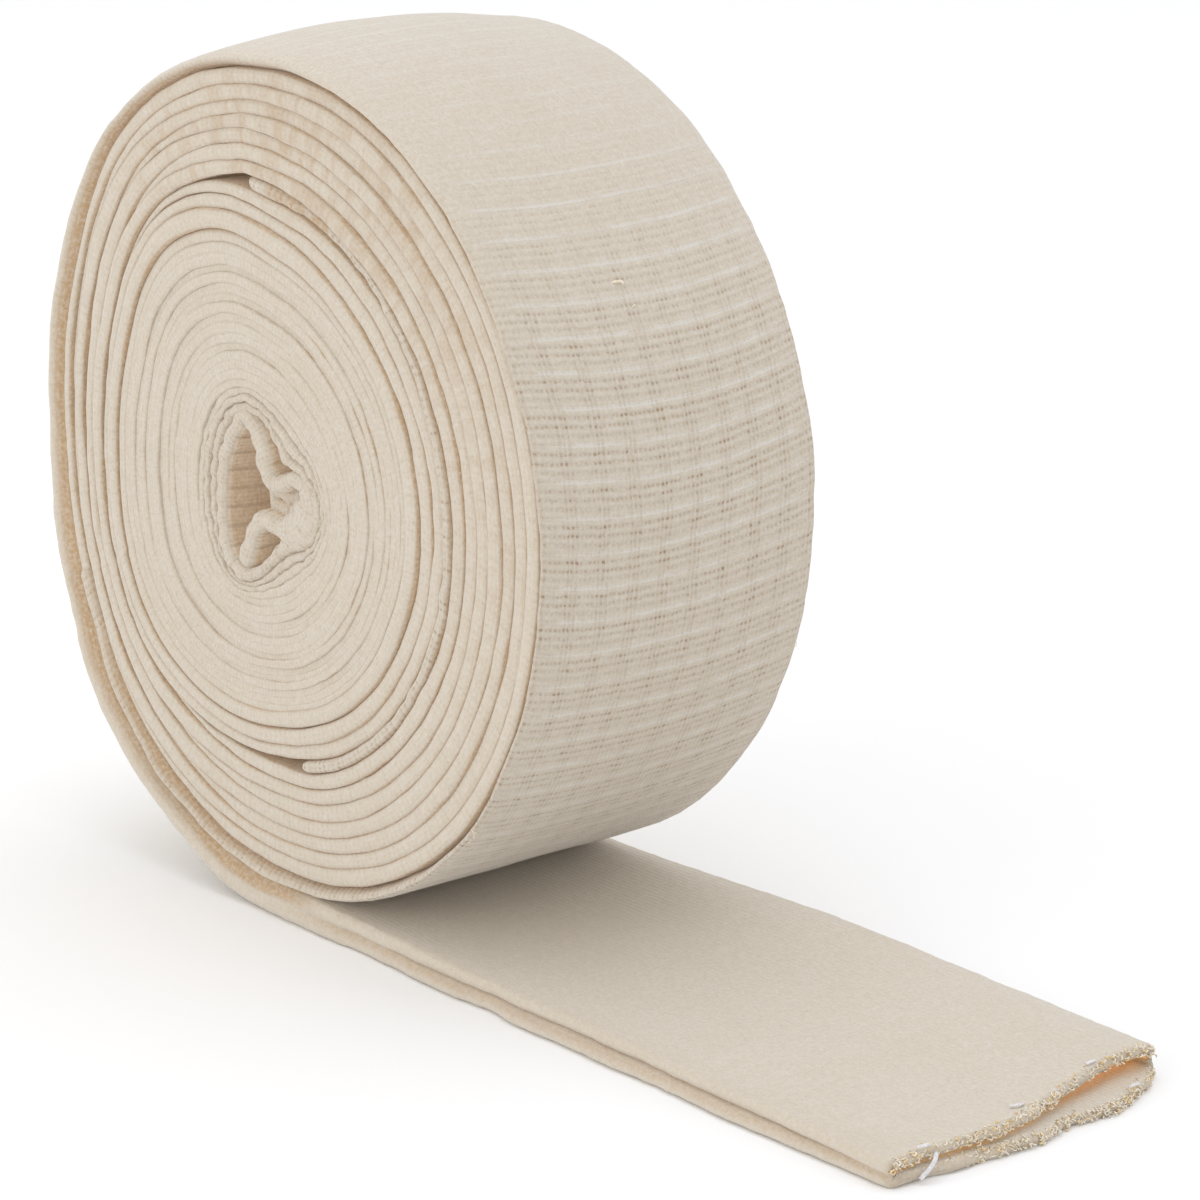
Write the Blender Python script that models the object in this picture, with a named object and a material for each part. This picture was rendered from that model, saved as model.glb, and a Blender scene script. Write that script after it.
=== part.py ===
"""Roll of tubular support bandage: a knitted tube pressed flat, wound up on itself, with its loose end
drawn out under the roll to an open mouth.

Frame: metres, +Z up. X runs along the loose end towards its mouth, Y along the roll's axis, and the front
face looks to -Y. The origin is on the resting surface under the axis. Angles are seen from the front: 0 is
towards the mouth and 90 is the top of the roll. The loose end runs from its mouth under the roll, and goes
on up the left side and over the top as the outermost turn.
"""

import math

import bmesh
import bpy
import numpy as np

TUBE_WIDTH = 0.0675  # the tube laid flat, and so the width of the roll
ROLL_RADIUS = 0.0823  # half the roll's length along X
AXIS_HEIGHT = 0.0909
FLAT_SPOT_HEIGHT = 0.0076  # underside of the roll where its weight presses on the loose end
PIECE_GAP = 0.0003
WELD_DISTANCE = 0.000001
ROLL_SEGMENTS = 72

# The heart of the roll is an upright oval hollow, left of the axis.
HEART_CENTRE = (-0.0095, -0.0035)
HEART_HALF_WIDTH = 0.0062
HEART_HALF_HEIGHT = 0.0140
HEART_LEAN = math.radians(-6)

# The roll's section at each angle. Radii are shares of ROLL_RADIUS: the edge of the tight first wind,
# the crease inside the outermost turn, and the outside. The outermost turn starts at the seam angle,
# where the loose end leaves it, so the outside steps in by one turn from the first row to the last.
SECTION_COLUMNS = ("angle", "first_wind", "crease", "outside")
SECTIONS = (
    (205, 0.730, 0.945, 1.030),
    (190, 0.700, 0.905, 0.985),
    (175, 0.685, 0.900, 0.972),
    (160, 0.680, 0.910, 0.980),
    (145, 0.700, 0.937, 0.997),
    (130, 0.700, 0.972, 1.012),
    (110, 0.655, 0.980, 1.014),
    (90, 0.580, 0.977, 1.013),
    (60, 0.540, 0.980, 1.008),
    (30, 0.535, 0.976, 1.000),
    (0, 0.540, 0.972, 0.994),
    (-30, 0.545, 0.976, 1.000),
    (-60, 0.575, 0.984, 1.015),
    (-90, 0.620, 0.975, 1.020),
    (-105, 0.660, 0.972, 1.013),
    (-120, 0.700, 0.970, 1.010),
    (-135, 0.735, 0.960, 1.000),
    (-145, 0.745, 0.935, 0.980),
    (-155, 0.730, 0.905, 0.945),
)
SEAM_ANGLE = SECTIONS[0][0]
SEAM_STEP = 1.2  # degrees that the step in the outside takes
EASING_ANGLES = (-6, -3, 0, 3, 6)  # a radius is the mean over these offsets, which rounds the table

# Relief of a face, from the heart outwards. "share" lies between the two named edges, and "rise" is how
# far the cloth stands out of the plane of the tube's edge, in metres.
FACE_COLUMNS = ("inner", "outer", "share", "rise")
FACE_RINGS = (
    ("heart", "first_wind", 0.00, -0.0030),
    ("heart", "first_wind", 0.06, -0.0010),
    ("heart", "first_wind", 0.45, -0.0006),
    ("heart", "first_wind", 0.86, -0.0008),
    ("heart", "first_wind", 0.93, -0.0001),
    ("heart", "first_wind", 0.98, -0.0003),
    ("first_wind", "crease", 0.01, -0.0018),
    ("first_wind", "crease", 0.14, -0.0003),
    ("first_wind", "crease", 0.32, -0.0010),
    ("first_wind", "crease", 0.50, -0.0001),
    ("first_wind", "crease", 0.68, -0.0009),
    ("first_wind", "crease", 0.90, -0.0004),
    ("crease", "outside", 0.00, -0.0026),
    ("crease", "outside", 0.35, -0.0004),
    ("crease", "outside", 0.75, -0.0006),
)
WIDTH_SHARES = (0.03, 0.5, 0.97)  # rings across the outside, from the front face to the back one
HEART_WALL_SHARES = (0.66, 0.33)  # rings down the wall of the hollow, from the back face to the front

# The loose end leaves the outside of the roll at the seam. Outer radius of its lower layer round the
# roll, as a share of ROLL_RADIUS, until it lies on the surface.
PEEL_COLUMNS = ("angle", "outer")
PEEL = (
    (205, 1.032),
    (215, 1.070),
    (225, 1.088),
    (242, 1.086),
    (250, 1.096),
    (255, 1.113),
    (259, 1.1175),
    (262, 1.1158),
)
PEEL_STATIONS = 14
PEEL_START = SEAM_ANGLE + 1.6
PEEL_END = 262

# The loose end along the surface, in metres: thickness of the flattened tube, the space between its two
# layers, and its front and back folds.
TAIL_COLUMNS = ("x", "thickness", "space", "front", "back")
TAIL = (
    (-0.008, 0.0073, 0.0009, -0.0338, 0.0338),
    (0.010, 0.0073, 0.0009, -0.0338, 0.0338),
    (0.030, 0.0064, 0.0010, -0.0341, 0.0340),
    (0.060, 0.0056, 0.0010, -0.0349, 0.0346),
    (0.100, 0.0054, 0.0012, -0.0354, 0.0350),
    (0.140, 0.0050, 0.0014, -0.0350, 0.0346),
    (0.1705, 0.0046, 0.0016, -0.0345, 0.0338),
)
TAIL_STATIONS = 22

# At the mouth the back half stands open: the top layer is lifted there, and fades away inwards.
MOUTH_LIFT = 0.0037
MOUTH_DEPTH = 0.075
MOUTH_FRONT = -0.012  # the lift grows from here to MOUTH_BACK across the tube
MOUTH_BACK = 0.004
LOWER_LIP = 0.0040  # how far the lower layer reaches past the top one
MOUTH_SLANT = 0.040  # the cut runs back by this share of the way across
LAYER_POINTS = 10  # across one layer, between the folds
FOLD_POINTS = 5

UNBLEACHED_COTTON = (0.72, 0.64, 0.53, 1.0)
COTTON_ROUGHNESS = 0.95


def clear_scene():
    for item in list(bpy.data.objects):
        bpy.data.objects.remove(item, do_unlink=True)


def column(table, columns, name):
    return np.array([row[columns.index(name)] for row in table], float)


def section_radius(name, angle):
    """Radius in metres of one named edge of the roll's section, at an angle from the seam down to -155."""
    angles = column(SECTIONS, SECTION_COLUMNS, "angle")[::-1]
    radii = column(SECTIONS, SECTION_COLUMNS, name)[::-1]
    near = np.clip(np.array(EASING_ANGLES) + angle, angles[0], angles[-1])
    return ROLL_RADIUS * float(np.interp(near, angles, radii).mean())


def roll_point(name, angle):
    """(x, z) of a named edge of the roll's section."""
    turn = math.radians(angle)
    if name == "heart":
        x = HEART_HALF_WIDTH * math.cos(turn)
        z = HEART_HALF_HEIGHT * math.sin(turn)
        lean_x = x * math.cos(HEART_LEAN) - z * math.sin(HEART_LEAN)
        lean_z = x * math.sin(HEART_LEAN) + z * math.cos(HEART_LEAN)
        return np.array((HEART_CENTRE[0] + lean_x, AXIS_HEIGHT + HEART_CENTRE[1] + lean_z))
    radius = section_radius(name, angle)
    x = radius * math.cos(turn)
    z = AXIS_HEIGHT + radius * math.sin(turn)
    return np.array((x, max(z, FLAT_SPOT_HEIGHT)))


def roll_angles():
    """Angles of the section's points, from the seam round to the foot of its step."""
    turn = np.linspace(SEAM_ANGLE, SEAM_ANGLE - 360 + SEAM_STEP, ROLL_SEGMENTS)
    return [float(angle) for angle in turn]


def face_ring(row, side):
    """Points of one ring of the relief, on the front face with side -1 or on the back one with side 1."""
    ring = dict(zip(FACE_COLUMNS, row))
    y = side * (TUBE_WIDTH / 2 + ring["rise"])
    points = []
    for angle in roll_angles():
        inner = roll_point(ring["inner"], angle)
        outer = roll_point(ring["outer"], angle)
        x, z = inner + ring["share"] * (outer - inner)
        points.append((x, y, z))
    return points


def level_ring(name, share):
    """Points of a ring that follows a named edge of the section at a share of the roll's width."""
    y = TUBE_WIDTH * (share - 0.5)
    points = []
    for angle in roll_angles():
        x, z = roll_point(name, angle)
        points.append((x, y, z))
    return points


def grow_skin(rings):
    """Extrudes a closed loop of edges through all rings and back to the first, where it is welded."""
    mesh = bmesh.new()
    verts = [mesh.verts.new(point) for point in rings[0]]
    edges = [mesh.edges.new((a, b)) for a, b in zip(verts, verts[1:] + verts[:1])]
    for ring in rings[1:] + rings[:1]:
        grown = bmesh.ops.extrude_edge_only(mesh, edges=edges)["geom"]
        edges = [item for item in grown if isinstance(item, bmesh.types.BMEdge)]
        new_verts = [item for item in grown if isinstance(item, bmesh.types.BMVert)]
        moved = {vert.co.to_tuple(9): vert for vert in new_verts}
        verts = [moved[vert.co.to_tuple(9)] for vert in verts]
        for vert, point in zip(verts, ring):
            vert.co = point
        edges = [mesh.edges.get((a, b)) for a, b in zip(verts, verts[1:] + verts[:1])]
    bmesh.ops.remove_doubles(mesh, verts=mesh.verts, dist=WELD_DISTANCE)
    return mesh


def finish_object(mesh, name, parent):
    """Turns the faces outwards, shades them smooth, gives them their cotton and hangs them on the parent."""
    bmesh.ops.recalc_face_normals(mesh, faces=mesh.faces)
    data = bpy.data.meshes.new(name)
    mesh.to_mesh(data)
    mesh.free()
    data.shade_smooth()
    data.materials.append(cotton_material(name))
    item = bpy.data.objects.new(name, data)
    bpy.context.collection.objects.link(item)
    item.parent = parent
    return item


def cotton_material(name):
    material = bpy.data.materials.new(name + "_knit_cotton")
    material.use_nodes = True
    shader = material.node_tree.nodes["Principled BSDF"]
    shader.inputs["Base Color"].default_value = UNBLEACHED_COTTON
    shader.inputs["Roughness"].default_value = COTTON_ROUGHNESS
    shader.inputs["Metallic"].default_value = 0.0
    return material


def make_roll(parent):
    """The wound form: two faces with their relief, the outside, and the hollow through the heart."""
    rings = [face_ring(row, -1) for row in FACE_RINGS]
    rings += [level_ring("outside", share) for share in WIDTH_SHARES]
    rings += [face_ring(row, 1) for row in reversed(FACE_RINGS)]
    rings += [level_ring("heart", share) for share in HEART_WALL_SHARES]
    return finish_object(grow_skin(rings), "wound_roll", parent)


def peel_stations():
    """Sections of the loose end that still follow the roll: lower point, upper point and the folds."""
    angles = column(PEEL, PEEL_COLUMNS, "angle")
    outer = column(PEEL, PEEL_COLUMNS, "outer")
    _, _, space, front, back = TAIL[0]
    stations = []
    for angle in np.linspace(PEEL_START, PEEL_END, PEEL_STATIONS):
        turn = math.radians(angle)
        near = np.array(EASING_ANGLES) / 2 + angle
        radius = ROLL_RADIUS * float(np.interp(near, angles, outer).mean())
        direction = np.array((math.cos(turn), math.sin(turn)))
        radius = min(radius, AXIS_HEIGHT / abs(direction[1]))
        low = np.array((0, AXIS_HEIGHT)) + radius * direction
        high = roll_point("outside", angle - 360) + PIECE_GAP * direction
        stations.append((low, high, space, front, back))
    return stations


def tail_stations():
    """Sections of the loose end that lie on the surface, from under the roll to the mouth."""
    x_rows = column(TAIL, TAIL_COLUMNS, "x")
    stations = []
    for x in np.linspace(x_rows[0], x_rows[-1], TAIL_STATIONS):
        row = [float(np.interp(x, x_rows, column(TAIL, TAIL_COLUMNS, name))) for name in TAIL_COLUMNS[1:]]
        thickness, space, front, back = row
        stations.append((np.array((x, 0.0)), np.array((x, thickness)), space, front, back))
    return stations


def ease(value):
    """Smooth step from 0 to 1."""
    value = min(max(value, 0.0), 1.0)
    return value * value * (3 - 2 * value)


def mouth_lift(x, y):
    along = ease(1 - (TAIL[-1][0] - x) / MOUTH_DEPTH)
    across = ease((y - MOUTH_FRONT) / (MOUTH_BACK - MOUTH_FRONT))
    return MOUTH_LIFT * along * across


def tube_outline(front, back, height, drop):
    """(y, rise) points once round a flattened tube: the lower layer, back fold, upper layer, front fold.

    rise runs from -1 on the lower face to 1 on the upper one, and drop insets the folds for the inside."""
    bulge = height / 2
    first = front + drop + bulge
    last = back - drop - bulge
    outline = [(y, -1.0) for y in np.linspace(first, last, LAYER_POINTS)]
    turns = np.linspace(-90, 90, FOLD_POINTS + 2)[1:-1]
    outline += [(last + bulge * math.cos(math.radians(t)), math.sin(math.radians(t))) for t in turns]
    outline += [(y, 1.0) for y in np.linspace(last, first, LAYER_POINTS)]
    outline += [(first - bulge * math.cos(math.radians(t)), -math.sin(math.radians(t))) for t in turns]
    return outline


def tube_ring(station, inside, is_mouth):
    """Points of the tube's outer or inner skin at one station."""
    low, high, space, front, back = station
    full = float(np.linalg.norm(high - low))
    layer = (full - space) / 2
    up = (high - low) / full
    bottom = low + up * layer if inside else low
    top = high - up * layer if inside else high
    height = float(np.linalg.norm(top - bottom))
    points = []
    for y, rise in tube_outline(front, back, height, layer if inside else 0.0):
        share = (rise + 1) / 2
        x, z = bottom + share * (top - bottom)
        z += share * mouth_lift(x, y)
        if is_mouth:
            x += (1 - share) * LOWER_LIP - MOUTH_SLANT * (y - front)
        points.append((x, y, z))
    return points


def make_loose_end(parent):
    """The flattened tube from the seam, under the roll and out to the mouth, hollow all the way."""
    stations = peel_stations() + tail_stations()
    last = len(stations) - 1
    outer = [tube_ring(station, False, place == last) for place, station in enumerate(stations)]
    inner = [tube_ring(station, True, place == last) for place, station in enumerate(stations)]
    return finish_object(grow_skin(outer + inner[::-1]), "loose_end", parent)


def main():
    clear_scene()
    bandage = bpy.data.objects.new("tubular_bandage", None)
    bpy.context.collection.objects.link(bandage)
    make_roll(bandage)
    make_loose_end(bandage)


if __name__ == "__main__":
    main()
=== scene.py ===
"""Looks of the roll of tubular support bandage: the wound cloth turn by turn, its crumpled heart, the cut
ends that show on its face, the loose end with its open mouth, the frayed yarn, and the stage.

Frame: metres, +Z up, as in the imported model. X runs along the loose end towards its mouth, Y along the
roll's axis, and the front face looks to -Y. Angles are seen from the front, in degrees: 0 is towards the
mouth and 90 is the top. Places along the wound cloth are counted in turns from the seam, where the loose
end leaves the outside of the roll, and grow inwards: the angle at place t is SEAM_ANGLE - 360 * t.
"""

import math
from functools import partial

import bmesh
import bpy
import numpy as np
from bpy.props import FloatProperty, PointerProperty, StringProperty
from mathutils import Matrix, Vector


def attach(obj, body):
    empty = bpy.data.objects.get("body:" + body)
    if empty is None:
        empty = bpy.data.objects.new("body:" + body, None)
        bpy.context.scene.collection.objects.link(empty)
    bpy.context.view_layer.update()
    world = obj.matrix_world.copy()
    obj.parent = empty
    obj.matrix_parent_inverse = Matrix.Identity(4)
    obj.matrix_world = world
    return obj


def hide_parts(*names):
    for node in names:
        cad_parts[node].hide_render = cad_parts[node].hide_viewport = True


bl_info = {
    "name": "Tubular support bandage roll",
    "version": (1, 0, 0),
    "blender": (4, 5, 0),
    "location": "View3D > Sidebar > Bandage",
    "description": "Builds the wound cloth, loose end, frayed yarn and stage of a tubular bandage roll",
    "category": "Object",
}

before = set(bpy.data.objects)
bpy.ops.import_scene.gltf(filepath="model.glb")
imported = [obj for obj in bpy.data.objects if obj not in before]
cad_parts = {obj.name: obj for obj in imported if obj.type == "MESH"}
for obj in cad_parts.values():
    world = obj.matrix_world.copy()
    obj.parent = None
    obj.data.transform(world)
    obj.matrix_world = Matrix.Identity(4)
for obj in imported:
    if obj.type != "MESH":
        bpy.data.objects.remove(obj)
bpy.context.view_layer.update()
MM = 0.001


class Table:
    """A short table with named columns, read between its rows along the first column."""

    def __init__(self, columns, *rows):
        values = np.array(sorted(rows), float).T
        self.places = values[0]
        self.columns = dict(zip(columns.split(), values))

    def read(self, name, places, period=None):
        return np.interp(places, self.places, self.columns[name], period=period)


TUBE_WIDTH = 67.5 * MM  # the tube laid flat
HALF_WIDTH = TUBE_WIDTH / 2
ROLL_RADIUS = 82.3 * MM  # shares in the tables below are shares of it
AXIS_HEIGHT = 90.9 * MM
FLAT_SPOT_HEIGHT = 7.6 * MM
CROWN = 2.9 * MM  # bulge of the outside at the middle of its width
WELD_DISTANCE = 1e-6

# Edges of the wound cloth at each angle: the tight first wind, the crease inside the outermost turn, and
# the outside.
SEAM_ANGLE = 205
SECTIONS = Table(
    "angle first_wind crease outside",
    (205, 0.730, 0.945, 1.030),
    (190, 0.700, 0.905, 0.985),
    (175, 0.685, 0.900, 0.972),
    (160, 0.680, 0.910, 0.980),
    (145, 0.700, 0.937, 0.997),
    (130, 0.700, 0.972, 1.012),
    (110, 0.655, 0.980, 1.014),
    (90, 0.580, 0.977, 1.013),
    (60, 0.540, 0.980, 1.008),
    (30, 0.535, 0.976, 1.000),
    (0, 0.540, 0.972, 0.994),
    (-30, 0.545, 0.976, 1.000),
    (-60, 0.575, 0.984, 1.015),
    (-90, 0.620, 0.975, 1.020),
    (-105, 0.660, 0.972, 1.013),
    (-120, 0.700, 0.970, 1.010),
    (-135, 0.735, 0.960, 1.000),
    (-145, 0.745, 0.935, 0.980),
    (-155, 0.730, 0.905, 0.945),
)
EASING_ANGLES = (-6, -3, 0, 3, 6)

# Places on the spiral, in turns.
FIRST_WIND_PLACE = 10.6  # where the loose outer wind becomes the tight first wind
HEART_PLACE = 29.93  # where the last turn lets go of its neighbour
LAST_PLACE = 30.22  # where the last turn leaves the spiral and crumples into the hollow
SEAM_PULL = 0.082  # how much the first turns under the seam crowd inwards
SEAM_PULL_REACH = 0.08
SEAM_EASING = 0.09  # share of a turn over which the edges on both sides of the seam are brought together
UNEVEN_PLACES = (2.569, 9.569)  # from angle 0 to angle 0, alternate turns are pressed thin on the left
PRESSED_THIN = 0.36  # share of a turn's thickness that moves to its neighbour there
WIDE_TURN = 1.5  # how much thicker the first turn of the first wind is

# The hollow's edge about its own centre, as shares of the roll radius.
HEART_CENTRE = (-0.050, -0.060)
HEART_EDGE = Table(
    "angle radius",
    (-169, 0.219),
    (-149, 0.239),
    (-132, 0.260),
    (-118, 0.255),
    (-104, 0.208),
    (-82, 0.146),
    (-57, 0.126),
    (-32, 0.166),
    (-11, 0.196),
    (5, 0.210),
    (16, 0.200),
    (38, 0.170),
    (55, 0.140),
    (72, 0.155),
    (90, 0.200),
    (108, 0.238),
    (127, 0.240),
    (150, 0.224),
    (180, 0.211),
)
HEART_TURN_THICKNESS = 0.045  # share of the roll radius

# An extra piece of cloth lies between two turns on the right half. Its cut ends show on the face.
PART_TURN = 8
PART_START = 97.5
PART_END = -84.5
PART_LAYER = Table(
    "angle thickness",
    (118, 0.000),
    (110, 0.006),
    (103, 0.020),
    (98, 0.037),
    (90, 0.040),
    (78, 0.036),
    (68, 0.030),
    (50, 0.028),
    (0, 0.030),
    (-50, 0.031),
    (-80, 0.034),
    (-85, 0.028),
    (-92, 0.014),
    (-100, 0.005),
    (-108, 0.000),
)

# How far the loose end stands off the roll until it lies on the surface, and its shape from there on.
PEEL_END_ANGLE = 262
PEEL = Table(
    "angle outer",
    (205, 1.020),
    (215, 1.068),
    (225, 1.088),
    (242, 1.086),
    (250, 1.096),
    (255, 1.113),
    (259, 1.1175),
    (262, 1.1158),
)
PIECE_GAP = 0.3 * MM
TAIL_FOOT = -0.008
TAIL_MOUTH = 0.176
TAIL = Table(
    "x thickness front back back_lift",
    (-0.008, 0.0073, -0.0338, 0.0338, 0.0000),
    (0.010, 0.0073, -0.0337, 0.0348, 0.0004),
    (0.030, 0.0064, -0.0336, 0.0362, 0.0012),
    (0.060, 0.0056, -0.0336, 0.0375, 0.0020),
    (0.090, 0.0054, -0.0338, 0.0385, 0.0022),
    (0.120, 0.0052, -0.0345, 0.0385, 0.0016),
    (0.150, 0.0052, -0.0360, 0.0374, 0.0006),
    (0.176, 0.0052, -0.0368, 0.0368, 0.0000),
)
LIFT_START = -5 * MM  # the back edge of the loose end is lifted from here on
TAIL_EDGE = 36 * MM
SHADE_REACH = 45 * MM  # how far from the roll the painted shade on the loose end reaches

# The cut at the mouth: how far each lip reaches, and how far the upper lip stands above the cloth.
MOUTH = Table(
    "y lower_reach upper_reach lift",
    (-0.037, 0.1762, 0.1775, 0.0000),
    (-0.026, 0.1775, 0.1768, 0.0000),
    (-0.012, 0.1795, 0.1782, 0.0001),
    (-0.002, 0.1802, 0.1768, 0.0002),
    (0.008, 0.1776, 0.1740, 0.0007),
    (0.018, 0.1790, 0.1714, 0.0013),
    (0.027, 0.1756, 0.1702, 0.0018),
    (0.033, 0.1726, 0.1706, 0.0018),
    (0.038, 0.1692, 0.1700, 0.0006),
)
MOUTH_DEPTH = 75 * MM
MOUTH_GAP = 0.5 * MM  # between the two layers where the mouth lies closed
MOUTH_FADE = 28 * MM  # behind the cut the rows of the knit run straight across again

# The knit: rows of loops run across the tube and columns of loops along it. An elastic thread lies in
# every fourth row, and a slack column lets light through every seventh column.
COURSE = 1.63 * MM
WALE = 1.05 * MM
ELASTIC_PITCH = 4 * COURSE
LADDER_PITCH = 7 * WALE
ROW_FALL = 0.20  # slope of a row of loops at the front fold
ROW_RISE = 0.42  # how much that slope changes over the tube's width
RELAXED_LENGTH = 1.50  # the first wind isn't stretched, so its rows lie closer by this factor
PINCH_PITCH = ELASTIC_PITCH / RELAXED_LENGTH  # each elastic thread draws slack cloth in
PINCH = 0.10


def smooth(value, low=0.0, high=1.0):
    """Smooth step from 0 at low to 1 at high."""
    part = np.clip((value - low) / (high - low), 0.0, 1.0)
    return part * part * (3 - 2 * part)


def stretch_of(value, start, full, fade, end):
    """1 from full to fade and 0 outside start and end, smooth between."""
    return smooth(value, start, full) * (1 - smooth(value, fade, end))


def wander(places, pitch, seed):
    """A smooth random wave between -1 and 1 with one knot a pitch, the same for the same seed."""
    places = places / pitch
    knots = np.random.default_rng(seed).uniform(-1, 1, 4096)
    start = np.floor(places).astype(int)
    part = smooth(places - start)
    return knots[start % 4096] * (1 - part) + knots[(start + 1) % 4096] * part


# ---------------------------------------------------------------- the spiral


def eased(read, angle, reach=1.0):
    """Mean of what is read at the angles round about, which rounds its corners."""
    return sum(read(angle + offset * reach) for offset in EASING_ANGLES) / len(EASING_ANGLES)


def angle_at(place):
    return SEAM_ANGLE - 360 * (place - np.floor(place))


def section_radius(name, angle):
    """Radius of a named edge of the roll."""
    return ROLL_RADIUS * eased(partial(SECTIONS.read, name), angle)


def direction(angle):
    """Unit vectors (x, z) at angles in degrees."""
    return np.stack((np.cos(np.radians(angle)), np.sin(np.radians(angle))), axis=-1)


def about_axis(radius, angle):
    """(x, z) at a radius from the roll's axis."""
    return np.array((0, AXIS_HEIGHT)) + np.asarray(radius)[..., None] * direction(angle)


def heart_radius(angle):
    """Radius of the hollow's edge, with its corners rounded."""
    return ROLL_RADIUS * eased(partial(HEART_EDGE.read, "radius", period=360), angle)


def heart_oval(angle):
    """The hollow's edge without its detail, which the turns further out follow."""
    offsets = np.arange(-50, 51, 10)
    return sum(heart_radius(angle + offset) for offset in offsets) / len(offsets)


def length_at(place):
    """Rough length of wound cloth from the seam to a place, which sets the pitch of its waves."""
    places = np.array((0, 1, FIRST_WIND_PLACE, HEART_PLACE, HEART_PLACE + 2))
    radii = ROLL_RADIUS * np.array((1.0, 0.965, 0.640, 0.200, 0.180))
    lengths = 2 * math.pi * np.cumsum(np.diff(places) * (radii[1:] + radii[:-1]) / 2)
    return np.interp(place, places, np.concatenate(((0,), lengths)))


def first_wind_share(place):
    """1 at the edge of the first wind and 0 at the hollow, with a wide turn at its edge."""
    steps = np.linspace(FIRST_WIND_PLACE, HEART_PLACE, 2000)
    weight = 1 + WIDE_TURN * (1 - smooth(steps - FIRST_WIND_PLACE, 0.75, 1.25))
    total = np.concatenate(((0,), np.cumsum(weight[1:])))
    return 1 - np.interp(place, steps, total / total[-1])


def pressed(angle):
    """How much alternate turns are pressed thin: most on the left side of the roll."""
    return stretch_of(angle % 360, 105, 150, 225, 262)


def pressed_edges(place):
    """1 and -1 by turns at the edges of the uneven turns, and 0 elsewhere."""
    first, last = UNEVEN_PLACES
    return np.where(np.floor(place - first) % 2 == 0, 1.0, -1.0) * ((place >= first) & (place < last))


def wave_of_edge(place):
    """Uneven radial shift of the edge between two turns, in metres."""
    length = length_at(place)
    inside = smooth(place, FIRST_WIND_PLACE - 0.5, FIRST_WIND_PLACE + 1.5)
    near_heart = smooth(place, HEART_PLACE - 5, HEART_PLACE - 1)
    coarse = wander(length, 22 * MM, 11) * (0.32 - 0.12 * inside)
    fine = wander(length, 4.2 * MM, 12) * (0.09 + 0.05 * inside + 0.14 * near_heart)
    return (coarse + fine) * smooth(place, 1.0, 1.15) * MM


def wind_edge(place, edge):
    """(x, z) of a turn's outer edge (edge 0) or inner edge (edge 1), carried smoothly over the seam."""
    at = place + edge
    seam = np.rint(at)
    way = at - seam
    inner = (seam >= 1.5) & (seam < FIRST_WIND_PLACE) & (np.abs(way) < SEAM_EASING)
    before = plain_edge(np.full_like(at, 0.9999) + seam - 1 - edge, edge)
    after = plain_edge(seam - edge, edge)
    size = 0.5 * (1 - smooth(np.abs(way), 0, SEAM_EASING)) * np.where(way < 0, 1.0, -1.0) * inner
    return plain_edge(place, edge) + size[:, None] * (after - before)


def plain_edge(place, edge):
    """(x, z) of a turn's edge as each turn alone would lie."""
    turn = np.floor(place)
    share = place - turn
    at = place + edge
    angle = angle_at(place)
    first = section_radius("first_wind", angle)
    part = ROLL_RADIUS * PART_LAYER.read("thickness", angle)
    room = section_radius("crease", angle) - first - part
    turns = FIRST_WIND_PLACE - 1 - share
    pull = (FIRST_WIND_PLACE - 2) / turns - SEAM_PULL * np.exp(-share / SEAM_PULL_REACH)
    spread = np.where(turn + edge == 1, 1.0, pull * (FIRST_WIND_PLACE - at) / (FIRST_WIND_PLACE - 2))
    radius = first + room * spread + part * (turn < PART_TURN)
    radius = radius + PRESSED_THIN * room / turns * pressed_edges(at) * pressed(angle)
    radius = np.where(turn + edge == 0, section_radius("outside", angle), radius)
    outer_wind = about_axis(radius + wave_of_edge(at), angle)

    detail = np.exp(-np.maximum(HEART_PLACE - at, 0.0) / 3)
    hollow = heart_oval(angle) * (1 - detail) + heart_radius(angle) * detail
    hollow = hollow - np.maximum(at - HEART_PLACE, 0.0) * HEART_TURN_THICKNESS * ROLL_RADIUS
    centre = ROLL_RADIUS * np.array(HEART_CENTRE) + np.array((0, AXIS_HEIGHT))
    hollow_point = centre + hollow[..., None] * direction(angle)
    inward = first_wind_share(at)[..., None]
    inner_wind = hollow_point + inward * (about_axis(first, angle) - hollow_point)
    inner_wind = inner_wind + wave_of_edge(at)[..., None] * direction(angle)
    return np.where((at > FIRST_WIND_PLACE)[..., None], inner_wind, outer_wind)


def gap_at(place):
    """Gap between two turns along the edge at a place, in metres."""
    start = FIRST_WIND_PLACE
    inside = smooth(place, start, start + 1.5)
    near_heart = smooth(place, HEART_PLACE - 4, HEART_PLACE - 1)
    opened = np.maximum(wander(length_at(place), 6 * MM, 21), 0) * (0.16 - 0.08 * inside)
    touching = stretch_of(place, 1.9, 2.1, start - 0.2, start) + smooth(place, start + 1.0, start + 1.2)
    beside_part = stretch_of(place, 7.5, 7.7, 9.3, 9.5)
    pressed_in = (0.22 + 0.22 * inside * (1 - near_heart)) * touching * (1 - beside_part)
    at_cut_ends = 0.35 * stretch_of(place, 8.78, 8.80, 8.9, 9.3)
    round_first_wind = 0.08 * stretch_of(place, 9.75, 9.85, 10.8, 11.0)
    under_outermost = 0.06 * (1 - smooth(place, 1.9, 2.0))
    return (0.05 + opened + under_outermost + at_cut_ends + round_first_wind - pressed_in) * MM


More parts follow.
